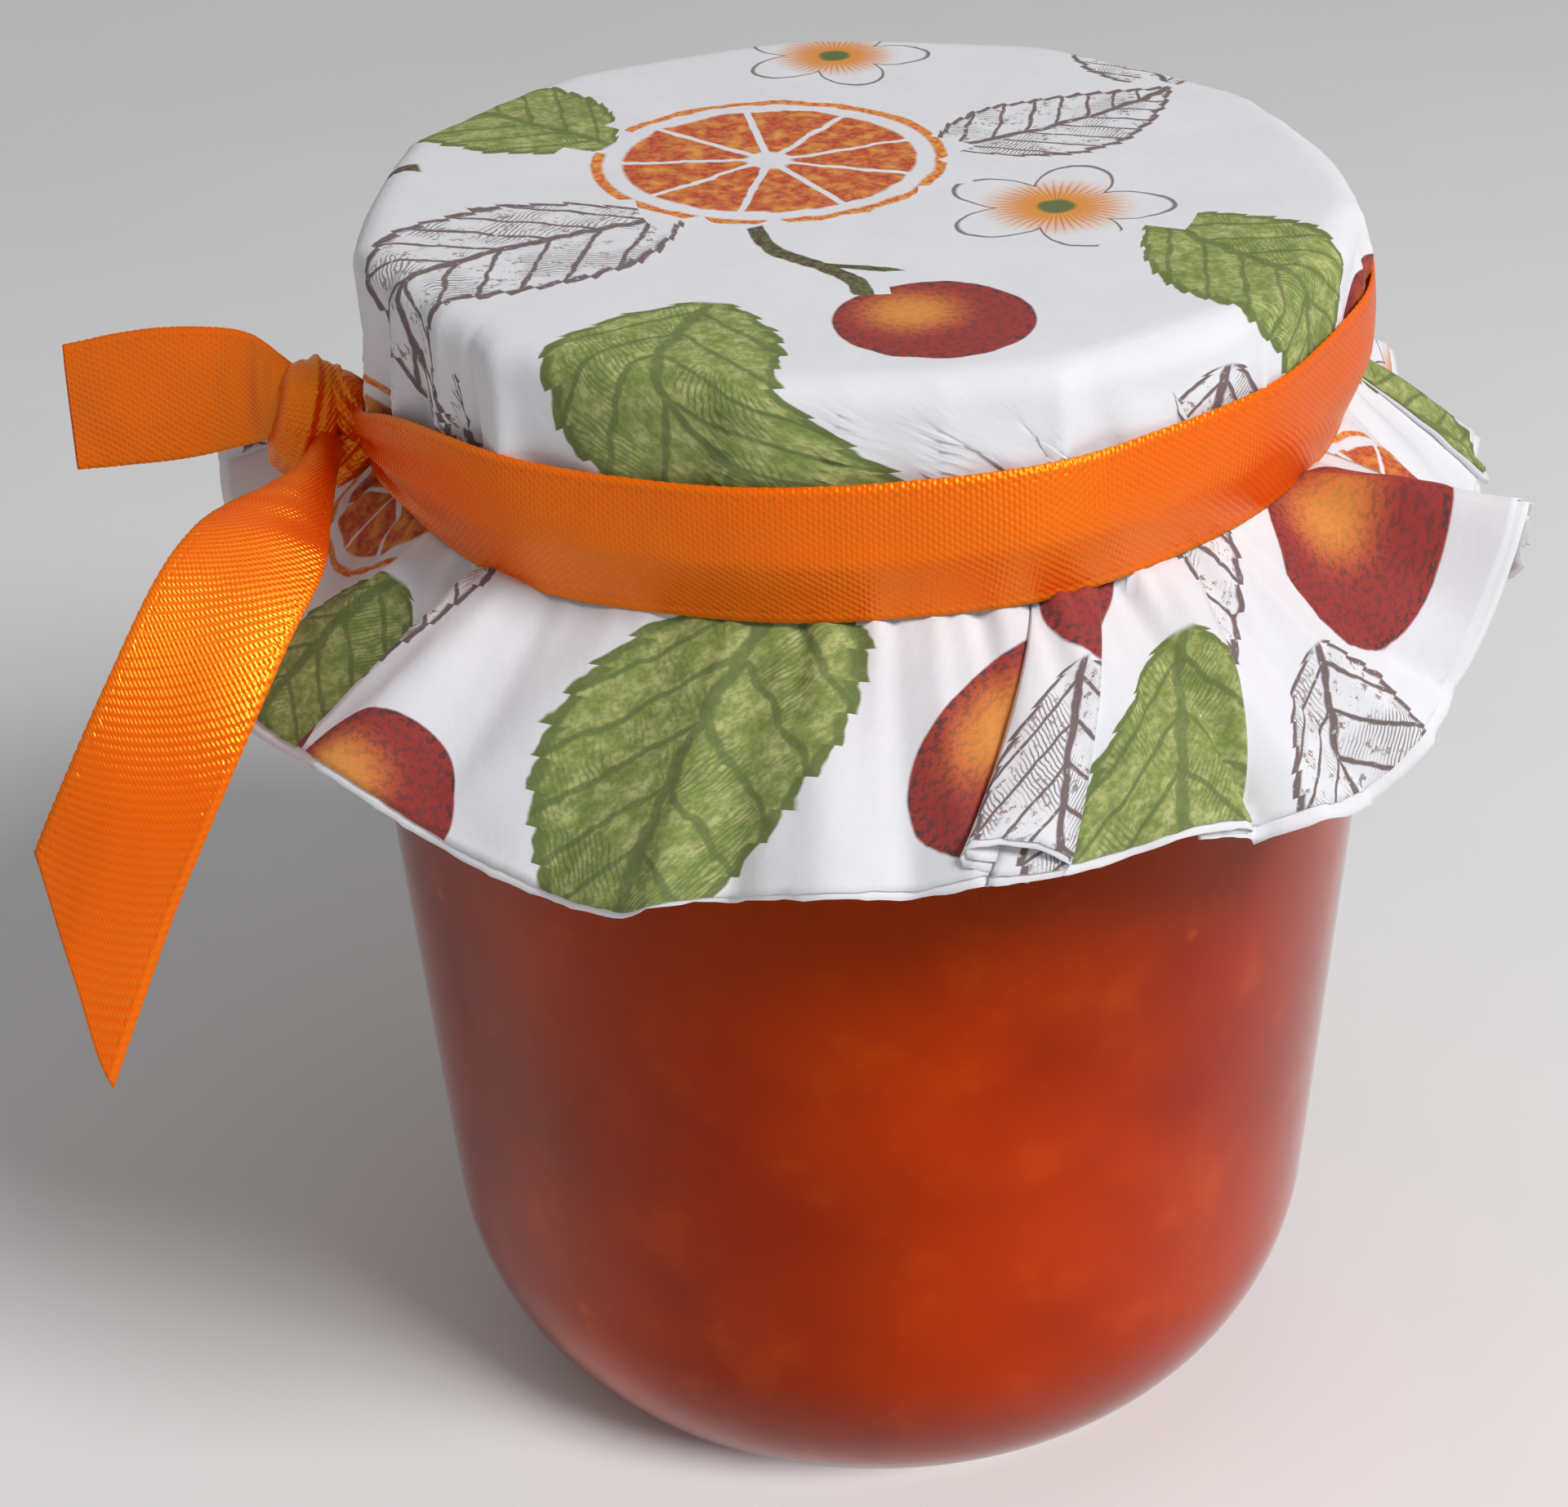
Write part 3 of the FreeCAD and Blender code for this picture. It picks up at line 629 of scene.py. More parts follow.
# Two maps on the flat sheet: its own places, and each face's place in its motif.
def writePrintMap(bm):
    sheetMap = bm.loops.layers.uv.new("sheetMap")
    motifMap = bm.loops.layers.uv.new("motifMap")
    for face in bm.faces:
        middle = face.calc_center_median()
        motif = motifAt(middle.x, middle.y)
        for loop in face.loops:
            x, y = loop.vert.co.x, loop.vert.co.y
            loop[sheetMap].uv = (x * mm, y * mm)
            place = inMotif(motif, x, y) + Vector((2.0 * motif[0], 0.0)) if motif else (0.0, 0.0)
            loop[motifMap].uv = place


def makeCover():
    rows = sheetRows(0.0, rimReach - 1.2, hemReach, cover["sheetRows"])
    sheet = makePaper("coverSheet", rows, 0.0, cover["thickness"], 1.7)
    plyStart = waistReach - 2
    rows = sheetRows(plyStart, plyStart, hemReach + cover["plyDrop"], cover["plyRows"])
    inset = cover["thickness"] + cover["plyGap"]
    ply = makePaper("coverLowerPly", rows, inset, cover["plyThickness"], 5.3)
    for paper in (sheet, ply):
        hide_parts("cover")
    return sheet, ply


# Ribbon: a flat satin strip drawn round the cover, pinched towards its knot.

ribbon = {
    "width": 10.4, "length": 222, "thickness": 0.22, "tilt": 1.6,
    "middle": 83.3,           # height of the band's middle line at the front
    "knotAzimuth": -87.0, "pinchReach": 21.0, "pinchDepth": 0.60, "knotDrop": 2.6,
    "crown": 0.10,            # how far its middle stands over its edges
    "gap": 0.20,              # from the paper to the ribbon's middle
    "give": 0.006,            # how far it sinks between folds, for each square degree
    "scallop": 0.07, "scallopPitch": 0.85,
    "steps": 900, "rows": 22, "tailRows": 16, "knotSteps": (96, 26),
    "tautLow": 77.0, "tautStep": 1.5,
}


# Outside radius of the folded paper at a height above its waist, for whole degrees.
def coverRound(height):
    for place in range(len(stations) - 4, len(stations) - 1):
        high, low = stations[place], stations[place + 1]
        if height >= low[1] or place == len(stations) - 2:
            share = min((high[1] - height) / (high[1] - low[1]), 1.0)
            reach = stationReach[place] + share * (stationReach[place + 1] - stationReach[place])
            break
    outside = [0.0] * 360
    for step in range(1440):
        turn = math.radians(step / 4)
        point = foldPaper(reach * math.sin(turn), -reach * math.cos(turn))
        azimuth = math.degrees(math.atan2(point.x, -point.y))
        degree = round(azimuth + 180) % 360
        outside[degree] = max(outside[degree], math.hypot(point.x, point.y))
    return [radius or max(outside[degree - 1], outside[(degree + 1) % 360])
            for degree, radius in enumerate(outside)]


# The taut radius over the paper, for whole degrees and a few heights of the band.
tautHeights = [ribbon["tautLow"] + ribbon["tautStep"] * k for k in range(9)]
tautRadii = []
for tautHeight in tautHeights:
    bare = coverRound(tautHeight)
    drawn = [max(bare[(degree + d) % 360] - ribbon["give"] * d * d for d in range(-14, 15))
             for degree in range(360)]
    tautRadii.append([sum(drawn[(degree + d) % 360] for d in range(-8, 9)) / 17
                      for degree in range(360)])


def tautRadius(azimuth, height):
    column = (azimuth + 180) % 360
    row = (height - ribbon["tautLow"]) / ribbon["tautStep"]
    row = min(max(row, 0.0), len(tautHeights) - 1.001)
    low, left = int(row), int(column)
    across, up = column - left, row - low
    right = (left + 1) % 360
    near = tautRadii[low][left] * (1 - across) + tautRadii[low][right] * across
    far = tautRadii[low + 1][left] * (1 - across) + tautRadii[low + 1][right] * across
    return near * (1 - up) + far * up


# The woven edge: small even loops of weft.
def scalloped(side, run):
    if abs(side) < 0.985:
        return side
    loop = abs(math.sin(math.pi * run / ribbon["scallopPitch"]))
    return side * (1 + ribbon["scallop"] * (loop - 0.6) / (ribbon["width"] / 2))


# A point of the band. side is -1 at its lower edge and 1 at its upper edge.
def bandPoint(azimuth, side):
    r = ribbon
    away = turnBetween(azimuth, r["knotAzimuth"])
    near = math.exp(-(away / r["pinchReach"]) ** 2)
    halfWidth = r["width"] / 2 * (1 - r["pinchDepth"] * near)
    run = math.radians(azimuth) * 35
    lift = r["tilt"] * math.sin(math.radians(azimuth))
    middle = r["middle"] - r["knotDrop"] * near + 0.12 * smoothNoise(run * 0.05, 0.3, 1.1)
    up = middle + scalloped(side, run) * halfWidth
    folds = near * (0.55 * math.cos(8.2 * side + 0.8) + 0.35 * math.cos(15 * side - away * 0.04))
    slack = math.exp(-(away / 40) ** 2) * 0.32 * smoothNoise(run * 0.09, side * 0.9, 5.0)
    crown = r["crown"] * (1 - side * side)
    radius = tautRadius(azimuth, up) + r["gap"] + max(folds, -0.35) + abs(slack) + crown
    radius += 0.035 * smoothNoise(run * 0.35, side * 1.7, 9.0) + 0.45 * near
    return roundPoint(radius, azimuth, up + lift)


# Lays a strip's grid in bm and its map in millimetres. place gives the point for a share of
# its length and a side.
def stripGrid(bm, steps, rows, place, length, width):
    made = bmesh.ops.create_grid(bm, x_segments=steps, y_segments=rows, size=0.5)["verts"]
    strapMap = bm.loops.layers.uv.get("strapMap") or bm.loops.layers.uv.new("strapMap")
    faces = {face for vert in made for face in vert.link_faces}
    for face in faces:
        for loop in face.loops:
            run = (loop.vert.co.x + 0.5) * length
            loop[strapMap].uv = (run * mm, loop.vert.co.y * width * mm)
    for vert in made:
        vert.co = place(vert.co.x + 0.5, 2 * vert.co.y)


def makeBand():
    bm = bmesh.new()

    def place(along, side):
        return bandPoint(ribbon["knotAzimuth"] + 360 * along, side)

    stripGrid(bm, ribbon["steps"], ribbon["rows"], place, ribbon["length"], ribbon["width"])
    bmesh.ops.remove_doubles(bm, verts=bm.verts, dist=1e-3)
    bmesh.ops.recalc_face_normals(bm, faces=bm.faces)
    return finishPiece(bm, "ribbonBand", ribbon["thickness"])


# A point of a tail. path holds stations of its middle line, each with the way across it and
# its width, and ends the share of the path at which its lower and upper edge are cut.
def strapPoint(path, along, side, cup, ends, ripple):
    share = along * (ends[0] * (1 - side) + ends[1] * (1 + side)) / 2
    station = share * (len(path) - 1)
    x, y, z, acrossX, acrossY, acrossZ, width = catmull(path, station)
    ahead = catmull(path, station + 0.02)
    behind = catmull(path, max(station - 0.02, 0.0))
    forward = Vector(ahead[:3]) - Vector(behind[:3])
    across = Vector((acrossX, acrossY, acrossZ)).normalized()
    outwards = forward.cross(across).normalized()
    bend = cup(share) * (1 - side * side)
    wave = ripple * smoothNoise(share * 4.0, side * 0.8, width) * share
    return (Vector((x, y, z)) + across * (scalloped(side, station * 7.0) * width / 2)
            + outwards * (bend + wave))


shortTail = [
    (-39.4, -3.2, 80.0, 0.0, -0.50, -0.87, 3.6),
    (-42.2, -3.0, 81.4, 0.0, -0.48, -0.88, 5.9),
    (-45.2, -1.0, 81.2, 0.0, -0.48, -0.88, 8.3),
    (-49.9, 0.6, 80.3, 0.0, -0.48, -0.88, 9.7),
    (-54.8, 2.3, 79.2, 0.0, -0.48, -0.88, 9.9),
    (-59.9, 3.9, 77.9, 0.0, -0.48, -0.88, 9.4),
]
longTail = [
    (-38.8, -4.4, 78.4, 0.99, 0.0, -0.05, 2.4),
    (-39.4, -9.4, 78.2, 0.99, 0.0, -0.05, 3.4),
    (-41.3, -14.4, 77.4, 0.97, -0.07, -0.2, 7.3),
    (-42.5, -18.3, 76.3, 0.95, -0.1, -0.28, 9.7),
    (-44.6, -22.3, 73.7, 0.93, -0.14, -0.34, 10.3),
    (-47.6, -27.2, 68.4, 0.93, -0.14, -0.34, 10.5),
    (-50.3, -30.3, 63.2, 0.93, -0.14, -0.34, 10.6),
    (-52.9, -32.1, 57.9, 0.93, -0.14, -0.34, 10.6),
    (-55.5, -33.8, 51.8, 0.93, -0.14, -0.34, 10.6),
    (-58.1, -35.3, 45.4, 0.93, -0.14, -0.34, 10.6),
]


def makeTail(name, path, steps, length, cup, ends, ripple):
    bm = bmesh.new()

    def place(along, side):
        return strapPoint(path, along, side, cup, ends, ripple)

    stripGrid(bm, steps, ribbon["tailRows"], place, length, ribbon["width"])
    bmesh.ops.recalc_face_normals(bm, faces=bm.faces)
    return finishPiece(bm, name, ribbon["thickness"])


# The knot: loops of strap wound tight. long and short are half its height and depth.
knotLoops = [
    {"centre": (-40.5, -3.4, 79.8), "axis": (0.93, 0.22, -0.30), "long": 3.5, "short": 2.4,
     "width": 5.0, "barrel": 1.1, "crease": 0.16, "seed": 1.0},
    {"centre": (-37.0, -3.4, 80.4), "axis": (0.80, 0.05, 0.60), "long": 2.6, "short": 1.9,
     "width": 3.6, "barrel": 0.8, "crease": 0.14, "seed": 4.0},
    {"centre": (-37.6, -3.8, 77.3), "axis": (0.70, -0.1, -0.70), "long": 2.0, "short": 1.8,
     "width": 3.6, "barrel": 0.7, "crease": 0.14, "seed": 7.0},
]


# A point of a loop of the knot, round its axis.
def knotPoint(wrap, along, side):
    axis = Vector(wrap["axis"]).normalized()
    upright = (Vector((0, 0, 1)) - axis * axis.z).normalized()
    sideways = axis.cross(upright)
    turn = math.tau * along
    crease = wrap["crease"] * (math.cos(9 * side + wrap["seed"] + 0.8 * math.sin(turn))
                               + 0.6 * math.cos(17 * side + 2 * wrap["seed"]))
    grow = wrap["barrel"] * (1 - side * side) - 1.5 * side ** 6 + crease
    grow += 0.25 * smoothNoise(2 * math.cos(turn), 2 * math.sin(turn), wrap["seed"])
    return (Vector(wrap["centre"]) + axis * (side * wrap["width"] / 2)
            + upright * (math.cos(turn) * (wrap["long"] + grow))
            + sideways * (math.sin(turn) * (wrap["short"] + grow)))


def makeKnot():
    bm = bmesh.new()
    for wrap in knotLoops:
        stripGrid(bm, *ribbon["knotSteps"], functools.partial(knotPoint, wrap),
                  math.tau * wrap["long"], wrap["width"] * 1.6)
    bmesh.ops.remove_doubles(bm, verts=bm.verts, dist=1e-3)
    bmesh.ops.recalc_face_normals(bm, faces=bm.faces)
    return finishPiece(bm, "ribbonKnot", ribbon["thickness"])


def makeRibbon():
    band = makeBand()
    knot = makeKnot()
    short = makeTail("ribbonShortTail", shortTail, 90, 22, lambda s: 0.9 * (1 - s) ** 1.5 + 0.15,
                     (1.0, 0.94), 0.5)
    long = makeTail("ribbonLongTail", longTail, 170, 52,
                    lambda s: 1.5 * math.exp(-(s / 0.22) ** 2) + 0.25, (0.775, 1.0), 0.8)
    for piece in (band, knot, short, long):
        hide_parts("ribbon")
    return band, knot, short, long


# Materials.

def newMaterial(name):
    material = bpy.data.materials.new(name)
    material.use_nodes = True
    tree = material.node_tree
    tree.nodes.clear()
    output = tree.nodes.new("ShaderNodeOutputMaterial")
    surface = tree.nodes.new("ShaderNodeBsdfPrincipled")
    tree.links.new(surface.outputs["BSDF"], output.inputs["Surface"])
    return material, tree, surface, output


# Colours are given as they look, from 0 to 255, and stored as light.
def colour(red, green, blue):
    def channel(value):
        v = value / 255
        return v / 12.92 if v <= 0.04045 else ((v + 0.055) / 1.055) ** 2.4
    return (channel(red), channel(green), channel(blue), 1.0)


# Feeds a socket with a link, or with a plain value.
def feed(tree, socket, value):
    if isinstance(value, bpy.types.NodeSocket):
        tree.links.new(value, socket)
    else:
        socket.default_value = value


def calc(tree, operation, a, b=None, c=None):
    node = tree.nodes.new("ShaderNodeMath")
    node.operation = operation
    for socket, value in zip(node.inputs, (a, b, c)):
        if value is not None:
            feed(tree, socket, value)
    return node.outputs[0]


# 0 below low and 1 above high, with a smooth step between.
def stepUp(tree, value, low, high):
    node = tree.nodes.new("ShaderNodeMapRange")
    node.interpolation_type = "SMOOTHSTEP"
    feed(tree, node.inputs["Value"], value)
    feed(tree, node.inputs["From Min"], low)
    feed(tree, node.inputs["From Max"], high)
    return node.outputs["Result"]


def stepDown(tree, value, low, high):
    return calc(tree, "SUBTRACT", 1.0, stepUp(tree, value, low, high))


def mixColour(tree, share, a, b, blend="MIX"):
    node = tree.nodes.new("ShaderNodeMix")
    node.data_type = "RGBA"
    node.blend_type = blend
    feed(tree, node.inputs[0], share)
    feed(tree, node.inputs[6], a)
    feed(tree, node.inputs[7], b)
    return node.outputs[2]


def noiseValue(tree, vector, scale, detail=2.0, roughness=0.5, stretch=None):
    if stretch:
        mapping = tree.nodes.new("ShaderNodeMapping")
        mapping.inputs["Scale"].default_value = stretch
        tree.links.new(vector, mapping.inputs["Vector"])
        vector = mapping.outputs["Vector"]
    node = tree.nodes.new("ShaderNodeTexNoise")
    tree.links.new(vector, node.inputs["Vector"])
    node.inputs["Scale"].default_value = scale
    node.inputs["Detail"].default_value = detail
    node.inputs["Roughness"].default_value = roughness
    return node.outputs["Fac"]


def mapOf(tree, name):
    node = tree.nodes.new("ShaderNodeUVMap")
    node.uv_map = name
    return node.outputs["UV"]


def splitVector(tree, vector):
    node = tree.nodes.new("ShaderNodeSeparateXYZ")
    tree.links.new(vector, node.inputs["Vector"])
    return node.outputs["X"], node.outputs["Y"], node.outputs["Z"]


def objectPlace(tree):
    return tree.nodes.new("ShaderNodeTexCoord").outputs["Object"]


# Sets plain values on a shader's own sockets.
def settle(surface, values):
    for name, value in values.items():
        surface.inputs[name].default_value = value


def bumpInto(tree, surface, height, strength, distance):
    node = tree.nodes.new("ShaderNodeBump")
    node.inputs["Strength"].default_value = strength
    node.inputs["Distance"].default_value = distance
    tree.links.new(height, node.inputs["Height"])
    tree.links.new(node.outputs["Normal"], surface.inputs["Normal"])
    return node


def newGroup(name, inputs, outputs):
    group = bpy.data.node_groups.new(name, "ShaderNodeTree")
    for label, kind in inputs:
        group.interface.new_socket(name=label, in_out="INPUT", socket_type=kind)
    for label, kind in outputs:
        group.interface.new_socket(name=label, in_out="OUTPUT", socket_type=kind)
    start = group.nodes.new("NodeGroupInput")
    end = group.nodes.new("NodeGroupOutput")
    return group, start, end


def placeGroup(tree, group):
    node = tree.nodes.new("ShaderNodeGroup")
    node.node_tree = group
    return node


# Woven threads on a strap's own map: weft across it and a slanted satin line.
def makeWeaveGroup():
    group, start, end = newGroup("satinWeave",
                                 [("Vector", "NodeSocketVector"), ("Pitch", "NodeSocketFloat")],
                                 [("Height", "NodeSocketFloat"), ("Thread", "NodeSocketFloat")])
    along, across, _ = splitVector(group, start.outputs["Vector"])
    pitch = start.outputs["Pitch"]
    wander = calc(group, "MULTIPLY", noiseValue(group, start.outputs["Vector"], 900.0), 0.00012)
    weft = calc(group, "DIVIDE", calc(group, "ADD", along, wander), pitch)
    warp = calc(group, "DIVIDE", calc(group, "ADD", across, wander), calc(group, "MULTIPLY", pitch, 0.8))
    weftWave = calc(group, "SINE", calc(group, "MULTIPLY", weft, math.tau))
    slant = calc(group, "SINE", calc(group, "MULTIPLY", calc(group, "ADD", weft, warp), math.tau / 2))
    height = calc(group, "MULTIPLY_ADD", weftWave, 0.35, calc(group, "MULTIPLY", slant, 0.5))
    group.links.new(height, end.inputs["Height"])
    group.links.new(calc(group, "MULTIPLY_ADD", height, 0.5, 0.5), end.inputs["Thread"])
    return group


# paintedHighlight is a lighter orange painted on as highlight, on the weave's raised threads and along
# the woven edges.
satin = {
    "deep": colour(206, 34, 0), "body": colour(232, 52, 0), "paintedHighlight": colour(252, 104, 0),
    "pitch": 0.00034, "stitch": colour(204, 56, 0),
    "halfWidth": 0.0052, "stitchIn": 0.0008, "stitchPitch": 0.0011,
}


def makeSatin():
    material, tree, surface, _ = newMaterial("orangeSatin")
    strap = mapOf(tree, "strapMap")
    along, across, _ = splitVector(tree, strap)
    weave = placeGroup(tree, weaveGroup)
    tree.links.new(strap, weave.inputs["Vector"])
    weave.inputs["Pitch"].default_value = satin["pitch"]
    edge = calc(tree, "ABSOLUTE", across)
    lineAt = satin["halfWidth"] - satin["stitchIn"]
    fromLine = calc(tree, "ABSOLUTE", calc(tree, "SUBTRACT", edge, lineAt))
    line = stepDown(tree, fromLine, 0.00006, 0.0002)
    stitchWave = calc(tree, "SINE", calc(tree, "MULTIPLY", along, math.tau / satin["stitchPitch"]))
    dash = stepUp(tree, stitchWave, -0.2, 0.5)
    stitch = calc(tree, "MULTIPLY", line, dash)
    cloudy = noiseValue(tree, strap, 60.0, 3.0, 0.5, (1.0, 5.0, 1.0))
    tone = mixColour(tree, calc(tree, "MULTIPLY", stepUp(tree, cloudy, 0.3, 0.75), 0.5), satin["body"],
                     satin["deep"])
    # Painted highlight: the weave's raised threads are mixed towards a lighter orange, with painted
    # shade between them.
    tone = mixColour(tree, calc(tree, "MULTIPLY", weave.outputs["Thread"], 0.45), tone, satin["paintedHighlight"])
    # Painted highlight: the woven edge outside the stitch line is mixed towards a lighter orange. It
    # also gets a rougher finish.
    selvedge = stepUp(tree, edge, lineAt + 0.0002, lineAt + 0.0005)
    tone = mixColour(tree, calc(tree, "MULTIPLY", selvedge, 0.4), tone, satin["paintedHighlight"])
    tone = mixColour(tree, calc(tree, "MULTIPLY", stitch, 0.4), tone, satin["stitch"])
    tree.links.new(tone, surface.inputs["Base Color"])
    rough = calc(tree, "MULTIPLY_ADD", weave.outputs["Thread"], -0.08, 0.33)
    tree.links.new(calc(tree, "MULTIPLY_ADD", selvedge, 0.15, rough), surface.inputs["Roughness"])
    settle(surface, {"Sheen Weight": 0.14, "Sheen Roughness": 0.35, "Sheen Tint": colour(255, 170, 30),
                     "IOR": 2.0, "Specular IOR Level": 1.0, "Specular Tint": colour(255, 200, 60),
                     "Anisotropic": 0.85, "Anisotropic Rotation": 0.25})
    threads = tree.nodes.new("ShaderNodeTangent")
    threads.direction_type = "UV_MAP"
    threads.uv_map = "strapMap"
    tree.links.new(threads.outputs["Tangent"], surface.inputs["Tangent"])
    settle(surface, {"Subsurface Weight": 0.08, "Subsurface Radius": (0.0012, 0.0005, 0.0002),
                     "Subsurface Scale": 1.0})
    height = calc(tree, "SUBTRACT", weave.outputs["Height"], calc(tree, "MULTIPLY", stitch, 0.9))
    bumpInto(tree, surface, height, 0.5, 0.00005)
    return material


# Glass that lets the lamps' light through to what is in it.
def makeGlassMaterial():
    material, tree, surface, output = newMaterial("clearGlass")
    settle(surface, {"Base Color": (0.985, 0.99, 0.985, 1), "Roughness": 0.02, "IOR": 1.5,
                     "Specular IOR Level": 0.22, "Specular Tint": colour(255, 140, 40),
                     "Transmission Weight": 1.0})
    place = objectPlace(tree)
    wavy = noiseValue(tree, place, 45.0, 1.0, 0.4, (1.0, 1.0, 0.45))
    bumpInto(tree, surface, wavy, 0.35, 0.0012)
    clear = tree.nodes.new("ShaderNodeBsdfTransparent")
    clear.inputs["Color"].default_value = (0.98, 0.98, 0.98, 1)
    path = tree.nodes.new("ShaderNodeLightPath")      # a shadow ray passes straight through
    mix = tree.nodes.new("ShaderNodeMixShader")
    tree.links.new(path.outputs["Is Shadow Ray"], mix.inputs[0])
    tree.links.new(surface.outputs["BSDF"], mix.inputs[1])
    tree.links.new(clear.outputs["BSDF"], mix.inputs[2])
    tree.links.new(mix.outputs["Shader"], output.inputs["Surface"])
    return material


jam = {
    "deep": colour(150, 30, 0), "body": colour(182, 50, 0), "pulp": colour(220, 98, 4),
    "scatter": (0.0050, 0.0018, 0.0001),
}


# Cooked fruit: clear orange jelly, cloudy with pulp, with small fibres and flecks in it.
def makeJamMaterial():
    material, tree, surface, _ = newMaterial("apricotJam")
    place = objectPlace(tree)
    cloud = noiseValue(tree, place, 38.0, 4.0, 0.55)
    fine = noiseValue(tree, place, 160.0, 4.0, 0.6)
    tone = mixColour(tree, stepUp(tree, cloud, 0.32, 0.70), jam["deep"], jam["body"])
    pulp = calc(tree, "MULTIPLY", stepUp(tree, fine, 0.5, 0.85), 0.35)
    tone = mixColour(tree, pulp, tone, jam["pulp"])
    spots = tree.nodes.new("ShaderNodeTexVoronoi")
    spots.inputs["Scale"].default_value = 260.0
    tree.links.new(place, spots.inputs["Vector"])
    fleck = stepDown(tree, spots.outputs["Distance"], 0.06, 0.2)
    chosen = stepUp(tree, noiseValue(tree, place, 90.0, 2.0), 0.6, 0.72)
    fleck = calc(tree, "MULTIPLY", fleck, chosen)
    tone = mixColour(tree, calc(tree, "MULTIPLY", fleck, 0.6), tone, jam["pulp"])
    tree.links.new(tone, surface.inputs["Base Color"])
    settle(surface, {"Roughness": 0.5, "Specular IOR Level": 0.0, "Subsurface Weight": 1.0,
                     "Subsurface Radius": jam["scatter"], "Subsurface Scale": 1.0})
    bumpInto(tree, surface, fine, 0.2, 0.0004)
    return material


# The print, drawn in a motif's own map: x along it and y across it, in its lengths.
inks = {
    "paper": colour(230, 229, 233), "red": colour(146, 22, 6), "orange": colour(204, 84, 14),
    "yellow": colour(226, 148, 50), "green": colour(126, 142, 58), "moss": colour(82, 98, 34),
    "pale": colour(176, 180, 108), "brown": colour(72, 34, 28), "rose": colour(216, 178, 160),
    "dark": colour(66, 22, 20),
}


# Short words for the nodes of one tree, and the unevenness of the printed ink.
class Pen:
    def __init__(self, tree, sheet):
        self.tree = tree
        self.sheet = sheet
        self.speck = self.cloud(1900.0, 2.0, 0.7)
        self.blot = self.cloud(700.0, 3.0)
        self.dotted = self.up(self.speck, 0.42, 0.58)

    def cloud(self, scale, detail=2.0, roughness=0.5):
        return noiseValue(self.tree, self.sheet, scale, detail, roughness)

    def chain(self, operation, values):
        return functools.reduce(functools.partial(calc, self.tree, operation), values)

    def plus(self, *values):
        return self.chain("ADD", values)

    def minus(self, *values):
        return self.chain("SUBTRACT", values)

    def times(self, *values):
        return self.chain("MULTIPLY", values)

    def most(self, *values):
        return self.chain("MAXIMUM", values)

    def size(self, value):
        return calc(self.tree, "ABSOLUTE", value)

    def repeat(self, shape, value, rate):
        return calc(self.tree, shape, self.times(value, rate))

    def reach(self, x, y):
        return calc(self.tree, "SQRT", self.plus(self.times(x, x), self.times(y, y)))

    def up(self, value, low, high):
        return stepUp(self.tree, value, low, high)

    def down(self, value, low, high):
        return stepDown(self.tree, value, low, high)

    def tint(self, share, under, over):
        return mixColour(self.tree, share, under, over)


# A toothed leaf: its face, the line round it, its veins and its hatching.
def drawLeaf(pen, x, y):
    bend = pen.times(pen.minus(pen.times(x, x), 0.08), 0.30)
    side = pen.size(pen.minus(y, bend))
    along = pen.plus(x, 0.5)
    fuller = calc(pen.tree, "POWER", pen.most(along, 0.0), 0.75)
    swell = pen.most(pen.repeat("SINE", fuller, math.pi), 0.0)
    teeth = pen.times(pen.repeat("FRACT", x, 15.0), 0.018)
    outside = pen.minus(side, pen.plus(pen.times(swell, 0.27), teeth))
    face = pen.times(pen.down(outside, -0.004, 0.004), pen.up(along, 0.0, 0.02),
                     pen.down(along, 0.98, 1.0))
    rim = pen.times(face, pen.up(outside, -0.034, -0.020))
    veinRun = pen.repeat("FRACT", pen.minus(x, pen.times(side, 0.9)), 8.0)
    vein = pen.most(pen.down(pen.size(pen.minus(veinRun, 0.5)), 0.04, 0.10),
                    pen.down(side, 0.010, 0.020))
    hatchRun = pen.repeat("FRACT", pen.plus(x, pen.times(side, 1.6)), 42.0)
    hatch = pen.times(pen.down(pen.size(pen.minus(hatchRun, 0.5)), 0.12, 0.24),
                      pen.up(pen.cloud(190.0), 0.45, 0.6))
    return face, rim, vein, hatch


def greenTone(pen, rim, vein, hatch):
    tone = pen.tint(pen.up(pen.blot, 0.35, 0.7), inks["green"], inks["pale"])
    for mask, share in ((pen.dotted, 0.45), (hatch, 0.6), (vein, 0.75), (rim, 0.8)):
        tone = pen.tint(pen.times(mask, share), tone, inks["moss"])
    return tone


# What is drawn of a line-drawn leaf: its lines and a little stipple, worn by the print.
def leafLines(pen, face, rim, vein, hatch):
    stipple = pen.times(pen.up(pen.speck, 0.52, 0.6), pen.up(pen.blot, 0.46, 0.6), 0.8)
    lines = pen.most(vein, rim, pen.times(hatch, 0.85), stipple)
    return pen.times(lines, face, pen.up(pen.speck, 0.22, 0.40), 0.9)


def drawWheel(pen, reach, turn):
    spoke = pen.size(pen.repeat("SINE", turn, 4.5))
    flesh = pen.times(pen.down(reach, 0.375, 0.39), pen.up(pen.times(spoke, reach), 0.03, 0.055),
                      pen.up(reach, 0.05, 0.07))
    fleshTone = pen.tint(pen.times(pen.dotted, 0.7), inks["orange"], inks["red"])
    fleshTone = pen.tint(pen.up(pen.blot, 0.4, 0.75), fleshTone, inks["yellow"])
    peelTone = pen.tint(pen.dotted, inks["orange"], inks["yellow"])
    tone = pen.tint(flesh, inks["paper"], fleshTone)
    tone = pen.tint(pen.up(reach, 0.425, 0.44), tone, peelTone)
    return pen.down(reach, 0.46, 0.47), tone


